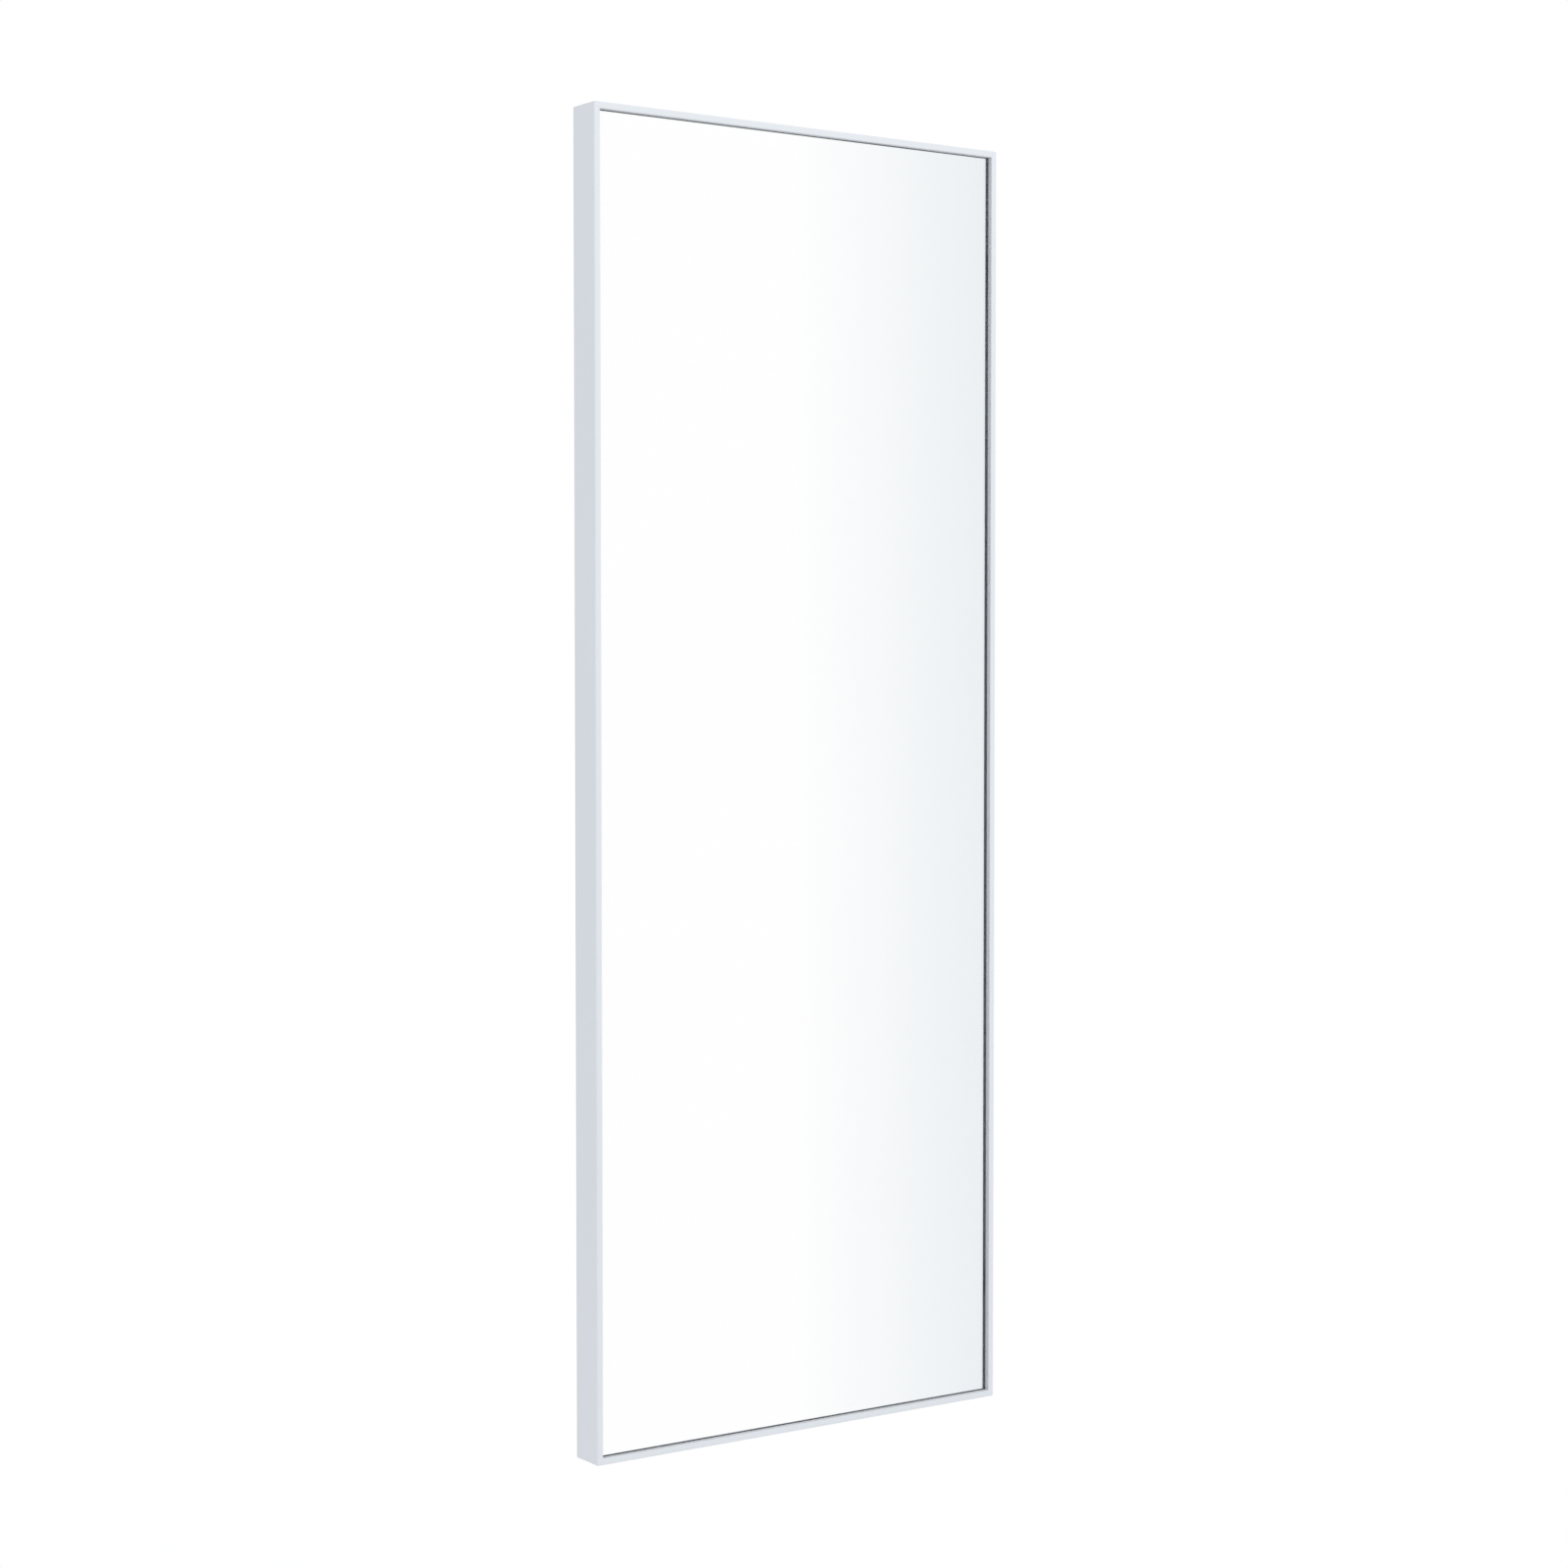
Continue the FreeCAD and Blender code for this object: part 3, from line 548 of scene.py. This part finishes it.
def shaped_by_nodes(name, tree, points, sharp_from, **sizes):
    """Plain mesh object that a node tree makes from some points and sizes."""
    mesh = bpy.data.meshes.new(name)
    mesh.from_pydata(points, [], [])
    piece = bpy.data.objects.new(name, mesh)
    scene.collection.objects.link(piece)
    shaping = piece.modifiers.new("shaping", "NODES")
    shaping.node_group = tree
    for socket in tree.interface.items_tree:
        if socket.in_out == "INPUT" and socket.name.replace(" ", "_") in sizes:
            shaping[socket.identifier] = sizes[socket.name.replace(" ", "_")]
    graph = bpy.context.evaluated_depsgraph_get()
    piece.data = bpy.data.meshes.new_from_object(piece.evaluated_get(graph))
    piece.modifiers.remove(shaping)
    piece.data.name = name
    piece.data.shade_smooth()
    piece.data.set_sharp_from_angle(angle=math.radians(sharp_from))
    return piece


def driven_screws(name, node, points, seed):
    """All screws of one kind, seated with their heads on the given points."""
    piece = shaped_by_nodes(
        name, pan_head_screws, points, screw_sharp_angle,
        Head_Diameter=head_diameter, Head_Height=head_height, Shank_Diameter=shank_diameter,
        Shank_Length=shank_length, Thread_Pitch=thread_pitch, Thread_Depth=thread_depth,
        Recess_Width=recess_width, Recess_Depth=recess_depth, Seed=seed, Plating=zinc_plate)
    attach(piece, "frame")
    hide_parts(node)


def screw_seats(line, back):
    """Points for the screws on one line of the members, some way back from the face."""
    return [
        place(inward, back, along) for length, holes, place in members.values()
        for inward, along in holes if inward == line]


corner_seats = screw_seats(corner_screw_line, flange_outside)
driven_screws("pan_head_corner_screws", "corner_screws", corner_seats, corner_screw_seed)

# Glazing tape: grey closed-cell foam stuck to the back of the lip, squeezed to 1 mm by the glass.
# Its soft edge, nearly level with the lip's and in its shade, is the dark line round the glass.
edges = ["left", "right", "top", "bottom"]
tape_rounding = 0.3 * MM
rounding_steps = 4
flat_within = math.radians(1)
foam_tape = mottled(
    "grey_foam_tape", (0.345, 0.385, 0.44), (0.385, 0.425, 0.475), (0.7, 0.86),
    drift_scale=80.0, grain_scale=2600.0, relief=0.04 * MM)


def rounded_off(name, node, rounding, material):
    """Flat-sided CAD piece made over in its place, with all its edges rounded."""
    bm = bmesh.new()
    bm.from_mesh(nodes[node].data)
    bmesh.ops.remove_doubles(bm, verts=bm.verts, dist=weld_distance)
    bmesh.ops.dissolve_limit(bm, angle_limit=flat_within, verts=bm.verts, edges=bm.edges)
    bmesh.ops.bevel(
        bm, geom=list(bm.edges), offset=rounding, offset_type="OFFSET", segments=rounding_steps,
        profile=0.5, affect="EDGES")
    return finished(name, bm, material)


for edge in edges:
    tape = rounded_off(f"foam_tape_{edge}", f"glazing_tape_{edge}", tape_rounding, foam_tape)
    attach(tape, "frame")
    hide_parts(f"glazing_tape_{edge}")

# Mirror glass: one pane of 4 mm float glass, silvered on its back, with its sharp edges arrised.
# It lies behind the lip, so the silver shows what is under the lip as a dark line along the edges.
glass_low, glass_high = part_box("mirror_glass")
glass_arris = 0.4 * MM
glass_air = 0.05 * MM
glass_sharp_angle = 10
float_waviness = 0.02 * MM
float_drift_scale = 4.0
float_wave_scale = 9.0
silver_dull = (0.988, 0.991, 0.99)
silver_bright = (0.999, 1.0, 0.999)


def floated(tree, shader, where):
    """Slow waves that the float bath leaves in a face of the glass, and the pattern behind them."""
    pattern = mottle_at(tree, where, float_drift_scale, float_wave_scale)
    feed(tree, shader, Normal=raised(tree, pattern["Height"], float_waviness))
    return pattern


float_glass, glass_tree, glass_shader, glass_where = new_material(
    "float_glass", Base_Color=(1, 1, 1, 1), Roughness=0.0, IOR=1.52, Transmission_Weight=1.0)
floated(glass_tree, glass_shader, glass_where)
silvering, silver_tree, silver_shader, silver_where = new_material(
    "silvering", Metallic=1.0, Roughness=0.0)
silver_tone = floated(silver_tree, silver_shader, silver_where)["Tone"]
feed(silver_tree, silver_shader, Base_Color=tone_ramp(
    silver_tree, silver_tone, [(0, silver_dull), (1, silver_bright)]))


def pane_ring(bm, y, inset):
    """Four corners of the pane at one depth."""
    left, right = glass_low.x + inset, glass_high.x - inset
    bottom, top = glass_low.z + inset, glass_high.z - inset
    around = ((left, bottom), (right, bottom), (right, top), (left, top))
    return [bm.verts.new((x, y, z)) for x, z in around]


bm = bmesh.new()
pane_front, pane_rear = glass_low.y + glass_air, glass_high.y - glass_air
pane_rings = [
    pane_ring(bm, pane_front, glass_arris), pane_ring(bm, pane_front + glass_arris, 0),
    pane_ring(bm, pane_rear - glass_arris, 0), pane_ring(bm, pane_rear, glass_arris)]
for near_ring, far_ring in zip(pane_rings, pane_rings[1:]):
    skin(bm, near_ring, far_ring)
bm.faces.new(pane_rings[0])
silvered_face = bm.faces.new(pane_rings[3])
silvered_face.material_index = 1
pane = finished("silvered_pane", bm, float_glass, silvering, sharp_from=glass_sharp_angle)
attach(pane, "frame")
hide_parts("mirror_glass")

# Setting blocks: short rubber blocks, two to a side, pushed between the glass edge and the frame.
# The two at the bottom carry the weight of the glass, the others keep it in the middle.
block_rounding = 0.4 * MM
black_rubber = mottled(
    "black_rubber", (0.024, 0.024, 0.025), (0.038, 0.038, 0.039), (0.5, 0.68),
    drift_scale=60.0, grain_scale=1500.0, relief=0.03 * MM)
blocks = rounded_off("rubber_setting_blocks", "setting_blocks", block_rounding, black_rubber)
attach(blocks, "frame")
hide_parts("setting_blocks")

# Safety film and foam sheet: a grey splinter film stuck to the silvered back of the glass, and a
# soft white sheet of foamed plastic that keeps the board from rubbing on it.
foam_rounding = 0.6 * MM
grey_film = mottled(
    "grey_film", (0.42, 0.44, 0.47), (0.48, 0.50, 0.53), (0.3, 0.42),
    drift_scale=12.0, grain_scale=500.0, relief=0.03 * MM)
white_foam = mottled(
    "white_foam", (0.82, 0.82, 0.80), (0.88, 0.88, 0.86), (0.7, 0.85),
    drift_scale=60.0, grain_scale=900.0, relief=0.1 * MM)
nodes["safety_film"].material_slots[0].material = grey_film
foam = rounded_off("soft_foam_sheet", "foam_sheet", foam_rounding, white_foam)
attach(foam, "frame")
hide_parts("foam_sheet")

# Backboard: 3 mm hardboard, wood fibre pressed hot into a dense sheet, its smooth side to the wall.
# Dark bundles of fibre and paler flecks show in the skin, and the press leaves it unevenly glossy.
board_rounding = 0.25 * MM
board_dark = (0.225, 0.136, 0.073)
board_light = (0.325, 0.205, 0.117)
board_gloss = (0.4, 0.58)
board_relief = 0.05 * MM
board_drift_share = 0.35
board_tone_range = (0.47, 0.88)
bundle_colour = (0.12, 0.066, 0.034)
bundle_range = (0.6, 0.72)
bundle_cover = 0.75

hardboard, board_tree, board_shader, board_where = new_material(
    "hardboard", Specular_IOR_Level=0.4)
board_pattern = mottle_at(board_tree, board_where, drift_scale=5.0, grain_scale=650.0)
fibres = add(
    board_tree, "ShaderNodeTexNoise", Vector=board_where,
    Scale=70.0, Detail=10.0, Roughness=0.8, Distortion=1.6).outputs["Fac"]
bundles = add(
    board_tree, "ShaderNodeTexNoise", Vector=board_where,
    Scale=260.0, Detail=3.0, Roughness=0.6, Distortion=3.0).outputs["Fac"]
board_drift = maths(board_tree, "MULTIPLY_ADD", board_pattern["Tone"], board_drift_share, fibres)
board_share = spread(board_tree, board_drift, *board_tone_range, 0, 1)
board_colour = add(
    board_tree, "ShaderNodeMixRGB",
    Fac=spread(board_tree, bundles, *bundle_range, 0, bundle_cover),
    Color1=tone_ramp(board_tree, board_share, [(0, board_dark), (1, board_light)]),
    Color2=(*bundle_colour, 1))
feed(
    board_tree, board_shader, Base_Color=board_colour.outputs["Color"],
    Roughness=spread(board_tree, fibres, noise_low, noise_high, *board_gloss),
    Normal=raised(board_tree, board_pattern["Height"], board_relief, strength=0.5))
board = rounded_off("pressed_backboard", "backboard", board_rounding, hardboard)
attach(board, "frame")
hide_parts("backboard")

# Backing gaskets: flat rubber strips between the board and the rear chamber, pushed in last.
# They press the board, foam and glass forward on to the tape, so that nothing rattles.
gasket_rounding = 0.35 * MM
for edge in edges:
    gasket = rounded_off(
        f"rubber_gasket_{edge}", f"backing_gasket_{edge}", gasket_rounding, black_rubber)
    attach(gasket, "frame")
    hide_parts(f"backing_gasket_{edge}")

# Hanger nut plates: threaded galvanised plates inside the stiles, against the rear flange.
# They take the pull of the hanger screws, which the thin flange alone could not.
hanger_sides = {"left": -1, "right": 1}
for side in hanger_sides:
    nodes[f"hanger_nut_plate_{side}"].material_slots[0].material = galvanised

# Hanger straps: strips of zinc-plated steel, 1.5 mm thick, blanked with a round foot and two holes.
# The upper end is rolled three quarters round, which makes the eye for the bar of the ring.
strap_half_width = 7.0
strap_thickness = 1.5
strap_length = 54.0
strap_foot_round = 4.0
strap_foot_steps = 8
strap_easing = 0.22
strap_holes = [9.0, 24.0]
strap_hole_radius = 2.2
strap_hole_sides = 32
strap_sharp_angle = 50
eye_radius = 3.55
eye_roll = 270
eye_roll_steps = 40
bar_drop = 320 * MM
bar_height = half_height - bar_drop
strap_face = -8.4 * MM
strap_levels = [
    (0, strap_easing), (strap_easing, 0),
    (strap_thickness - strap_easing, 0), (strap_thickness, strap_easing)]


def strap_outline(inset):
    """Edge of the flat part, down one side, round the foot and up the other, as (across, up)."""
    reach = strap_half_width - inset
    turn = strap_foot_round - inset
    points = [(-reach, strap_length)]
    for middle, start in ((-1, 180), (1, 270)):
        for step in range(strap_foot_steps + 1):
            angle = math.radians(start + 90 * step / strap_foot_steps)
            points.append((
                middle * (strap_half_width - strap_foot_round) + turn * math.cos(angle),
                strap_foot_round + turn * math.sin(angle)))
    return points + [(reach, strap_length)]


def rolled_strap(name, side):
    """One strap, in place on its stile."""
    middle = hanger_sides[side] * (half_width - hanger_screw_line * MM)
    bm = bmesh.new()

    def on_flat(across, up, level):
        """Vertex of the flat part, at a level in its thickness."""
        return bm.verts.new((
            middle + across * MM, strap_face + level * MM,
            bar_height + (up - strap_length) * MM))

    def on_roll(across, level, angle):
        """Vertex of the rolled eye, at a level in its thickness."""
        radius = eye_radius - level
        return bm.verts.new((
            middle + across * MM, strap_face + (eye_radius - radius * math.cos(angle)) * MM,
            bar_height + radius * math.sin(angle) * MM))

    rims = []
    for level, inset in strap_levels:
        rims.append([on_flat(across, up, level) for across, up in strap_outline(inset)])
    for lower, upper in zip(rims, rims[1:]):
        skin(bm, lower, upper, leave_out=[0])
    hole_rings = []
    for height in strap_holes:
        rings = []
        for level, inset in strap_levels:
            radius = strap_hole_radius + inset
            rings.append([
                on_flat(radius * x, height + radius * y, level)
                for x, y in full_turn(strap_hole_sides)])
        for lower, upper in zip(rings, rings[1:]):
            skin(bm, lower, upper)
        hole_rings.append(rings)
    for level in (0, -1):
        fill_round(bm, rims[level], [rings[level] for rings in hole_rings])
    last = [rim[0] for rim in rims] + [rim[-1] for rim in reversed(rims)]
    for step in range(1, eye_roll_steps + 1):
        angle = math.radians(eye_roll * step / eye_roll_steps)
        ring = []
        for end in (-1, 1):
            for level, inset in (strap_levels if end < 0 else reversed(strap_levels)):
                ring.append(on_roll(end * (strap_half_width - inset), level, angle))
        skin(bm, last, ring)
        last = ring
    bm.faces.new(last)
    return finished(name, bm, zinc_plate, sharp_from=strap_sharp_angle)


for side in hanger_sides:
    strap = rolled_strap(f"rolled_strap_{side}", side)
    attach(strap, "frame")
    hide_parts(f"hanger_strap_{side}")

# Hanger rings: D-rings bent from 3.5 mm zinc-plated wire, their straight bars caught in the eyes of
# the straps. They hang by their own weight, and swing out and up to go over a wall hook.
wire_diameter = 3.5 * MM
wire_sides = 28
ring_width = 20.5 * MM
ring_height = 17.25 * MM
bar_bend = 3.0 * MM
bend_steps = 22
bar_depth = strap_face + eye_radius * MM
ring_sharp_angle = 60

wire_ring, ring_in, ring_out = new_group(
    "wire_ring", "GeometryNodeTree",
    [("Bar Middle", "NodeSocketGeometry", None),
     ("Wire Diameter", "NodeSocketFloat", wire_diameter),
     ("Ring Width", "NodeSocketFloat", ring_width), ("Ring Height", "NodeSocketFloat", ring_height),
     ("Bar Bend", "NodeSocketFloat", bar_bend), ("Plating", "NodeSocketMaterial", None)],
    [("Ring", "NodeSocketGeometry")])
for_ring = ring_in.outputs


def ring_part(kind, settings=None, **inputs):
    """Node of the ring tree."""
    return add(wire_ring, kind, settings, **inputs)


# Corners 0 and 1 of the centre line are the ends of the bar, and the other two make the round bow
centre_line = ring_part(
    "GeometryNodeCurvePrimitiveQuadrilateral", {"mode": "RECTANGLE"},
    Width=for_ring["Ring Width"], Height=for_ring["Ring Height"])
corner_number = ring_part("GeometryNodeInputIndex").outputs["Index"]
bend_radius = ring_part(
    "GeometryNodeSwitch", {"input_type": "FLOAT"},
    Switch=maths(wire_ring, "GREATER_THAN", corner_number, 1.5),
    **{"False": for_ring["Bar Bend"],
       "True": maths(wire_ring, "MULTIPLY", for_ring["Ring Width"], 0.5)})
bent = ring_part(
    "GeometryNodeFilletCurve", {"mode": "POLY"}, Curve=centre_line.outputs["Curve"],
    Count=bend_steps, Radius=bend_radius.outputs["Output"], Limit_Radius=True)
wire_round = ring_part(
    "GeometryNodeCurvePrimitiveCircle", Resolution=wire_sides,
    Radius=maths(wire_ring, "MULTIPLY", for_ring["Wire Diameter"], 0.5))
wire = ring_part(
    "GeometryNodeCurveToMesh", Curve=bent.outputs["Curve"],
    Profile_Curve=wire_round.outputs["Curve"])
joined_wire = ring_part(
    "GeometryNodeMergeByDistance", Geometry=wire.outputs["Mesh"], Distance=weld_distance)
below_bar = ring_part(
    "ShaderNodeCombineXYZ", Z=maths(wire_ring, "MULTIPLY", for_ring["Ring Height"], -0.5))
hanging = ring_part(
    "GeometryNodeTransform", Geometry=joined_wire.outputs["Geometry"],
    Translation=below_bar.outputs[0], Rotation=(math.pi / 2, 0, 0))
eye_points = ring_part("GeometryNodeMeshToPoints", Mesh=for_ring["Bar Middle"])
in_eye = ring_part(
    "GeometryNodeInstanceOnPoints", Points=eye_points.outputs["Points"],
    Instance=hanging.outputs["Geometry"])
real_ring = ring_part("GeometryNodeRealizeInstances", Geometry=in_eye.outputs["Instances"])
plated_ring = ring_part(
    "GeometryNodeSetMaterial", Geometry=real_ring.outputs["Geometry"],
    Material=for_ring["Plating"])
wire_ring.links.new(plated_ring.outputs["Geometry"], ring_out.inputs["Ring"])

for side, sign in hanger_sides.items():
    bar_middle = (sign * (half_width - hanger_screw_line * MM), bar_depth, bar_height)
    ring = shaped_by_nodes(
        f"wire_ring_{side}", wire_ring, [bar_middle], ring_sharp_angle,
        Wire_Diameter=wire_diameter, Ring_Width=ring_width, Ring_Height=ring_height,
        Bar_Bend=bar_bend, Plating=zinc_plate)
    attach(ring, f"{side}_ring")
    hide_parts(f"hanger_ring_{side}")

# Hanger screws: two more of the same pan-head screws for each strap.
# They go through the strap and the flange into the nut plate.
hanger_screw_seed = 5
hanger_seats = screw_seats(hanger_screw_line, flange_outside + strap_thickness)
driven_screws("pan_head_hanger_screws", "hanger_screws", hanger_seats, hanger_screw_seed)

# Floor: a pale matt disc well below the mirror, which hangs clear of it as it does on a wall.
# It fades out towards its rim, so that no edge of it shows against the white studio.
floor_level = -1.25
floor_radius = 1.7
floor_sides = 96
floor_fade_start = 0.9
floor_fade_end = floor_radius - 0.05
floor_tone = (0.9, 0.9, 0.9)
floor_lift = 0.3
bm = bmesh.new()
bmesh.ops.create_circle(bm, cap_ends=True, segments=floor_sides, radius=floor_radius)
for vertex in bm.verts:
    vertex.co.z = floor_level
floor_mesh = bpy.data.meshes.new("floor")
bm.to_mesh(floor_mesh)
bm.free()
floor = bpy.data.objects.new("floor", floor_mesh)
scene.collection.objects.link(floor)


def seen_masks(tree):
    """Two masks: rays by way of metal or glass, and all rays that show the stage to the eye."""
    path = tree.nodes.new("ShaderNodeLightPath").outputs
    mirrored = maths(tree, "MAXIMUM", path["Is Glossy Ray"], path["Is Transmission Ray"])
    either = maths(tree, "MAXIMUM", path["Is Camera Ray"], mirrored)
    direct = maths(tree, "LESS_THAN", path["Diffuse Depth"], 0.5)
    return mirrored, maths(tree, "MULTIPLY", either, direct)


def mixed(tree, share, first, second):
    """Shader between two others."""
    node = tree.nodes.new("ShaderNodeMixShader")
    for socket, output in zip(node.inputs, (share, first, second)):
        tree.links.new(output, socket)
    return node.outputs["Shader"]


pale_floor, floor_tree, floor_shader, floor_where = new_material(
    "pale_floor", Base_Color=(*floor_tone, 1), Roughness=0.8, Specular_IOR_Level=0.0)
floor_seen = seen_masks(floor_tree)[1]
floor_glow = add(
    floor_tree, "ShaderNodeEmission", Color=(1, 1, 1, 1),
    Strength=maths(floor_tree, "MULTIPLY", floor_seen, floor_lift))
floor_sum = floor_tree.nodes.new("ShaderNodeAddShader")
floor_tree.links.new(floor_shader.outputs["BSDF"], floor_sum.inputs[0])
floor_tree.links.new(floor_glow.outputs["Emission"], floor_sum.inputs[1])
floor_flat = add(
    floor_tree, "ShaderNodeVectorMath", {"operation": "MULTIPLY"}, Vector=floor_where)
floor_flat.inputs[1].default_value = (1, 1, 0)
floor_reach = add(
    floor_tree, "ShaderNodeVectorMath", {"operation": "LENGTH"},
    Vector=floor_flat.outputs["Vector"])
floor_rim = add(
    floor_tree, "ShaderNodeMapRange", {"interpolation_type": "SMOOTHSTEP"},
    Value=floor_reach.outputs["Value"], From_Min=floor_fade_start, From_Max=floor_fade_end,
    To_Min=0.0, To_Max=1.0)
floor_clear = floor_tree.nodes.new("ShaderNodeBsdfTransparent")
floor_look = mixed(
    floor_tree, floor_rim.outputs["Result"], floor_sum.outputs["Shader"],
    floor_clear.outputs["BSDF"])
floor_tree.links.new(floor_look, floor_tree.nodes["Material Output"].inputs["Surface"])
floor_mesh.materials.append(pale_floor)

# Studio: plain white to the eye, soft even light on surfaces, and a large lamp in front and above.
# What the glass and metal show of it is white too, with broad pale grey panels beside the lamp.
studio_light = (0.785, 0.80, 0.832)
lamp_width, lamp_height = 3.0, 2.0
lamp_power = 46
lamp_colour = (1.0, 0.96, 0.90)
lamp_place = (0.8, -3.6, 2.8)
lamp_aim = (0, 0, 0)

# Bearing of each panel in degrees, 0 in front of the mirror and rising to the right, and its tone
studio_panels = [
    (-180.0, (0.80, 0.83, 0.86)), (-150.0, (0.93, 0.94, 0.95)), (-120.0, (0.78, 0.82, 0.85)),
    (-95.0, (0.93, 0.94, 0.95)), (-75.0, (0.78, 0.82, 0.85)), (-58.0, (0.96, 0.97, 0.975)),
    (-46.0, (0.80, 0.84, 0.87)), (-34.0, (0.95, 0.96, 0.97)), (-22.0, (0.82, 0.855, 0.88)),
    (-8.0, (0.98, 0.985, 0.99)), (6.0, (0.82, 0.855, 0.88)), (18.0, (0.95, 0.96, 0.97)),
    (27.0, (1, 1, 1)), (35.45, (1, 1, 1)), (39.35, (0.812, 0.852, 0.884)),
    (50.0, (0.78, 0.82, 0.855)), (70.0, (0.94, 0.95, 0.96)), (95.0, (0.77, 0.81, 0.85)),
    (130.0, (0.93, 0.94, 0.95)), (180.0, (0.80, 0.83, 0.86)),
]
world = bpy.data.worlds.new("studio")
scene.world = world
world.use_nodes = True
studio = world.node_tree
by_glass, studio_seen = seen_masks(studio)
heading = add(studio, "ShaderNodeTexCoord").outputs["Generated"]
heading_parts = add(studio, "ShaderNodeSeparateXYZ", Vector=heading).outputs
forward = maths(studio, "MULTIPLY", heading_parts["Y"], -1.0)
bearing = maths(studio, "ARCTAN2", heading_parts["X"], forward)
panels = tone_ramp(
    studio, spread(studio, bearing, -math.pi, math.pi, 0, 1),
    [((angle + 180) / 360, colour) for angle, colour in studio_panels])
seen_white = feed(studio, studio.nodes["Background"], Color=(1, 1, 1, 1))
mirrored_panels = add(studio, "ShaderNodeBackground", Color=panels)
soft_light = add(studio, "ShaderNodeBackground", Color=(*studio_light, 1))
shown = mixed(
    studio, by_glass, seen_white.outputs["Background"], mirrored_panels.outputs["Background"])
studio_look = mixed(studio, studio_seen, soft_light.outputs["Background"], shown)
studio.links.new(studio_look, studio.nodes["World Output"].inputs["Surface"])

lamp = bpy.data.lights.new("softbox", "AREA")
lamp.shape = "RECTANGLE"
lamp.size = lamp_width
lamp.size_y = lamp_height
lamp.energy = lamp_power
lamp.color = lamp_colour
softbox = bpy.data.objects.new("softbox", lamp)
scene.collection.objects.link(softbox)
softbox.location = lamp_place
lamp_heading = Vector(lamp_aim) - softbox.location
softbox.rotation_euler = lamp_heading.to_track_quat("-Z", "Y").to_euler()
softbox.visible_camera = False
softbox.visible_glossy = False
softbox.visible_transmission = False

# Camera: a short telephoto some 3.7 m away, left of the mirror and a little above its middle,
# turned a little down, so that the frame shows its left side and its front.
lens_length = 68.474
camera_place = (-2.1179, -3.0304, 0.1418)
camera_tilt = math.radians(87.777)
camera_turn = math.radians(-34.971)
lens = bpy.data.cameras.new("photo_camera")
lens.lens = lens_length
camera = bpy.data.objects.new("photo_camera", lens)
scene.collection.objects.link(camera)
camera.location = camera_place
camera.rotation_euler = (camera_tilt, 0, camera_turn)
scene.camera = camera
scene.view_settings.view_transform = "Standard"
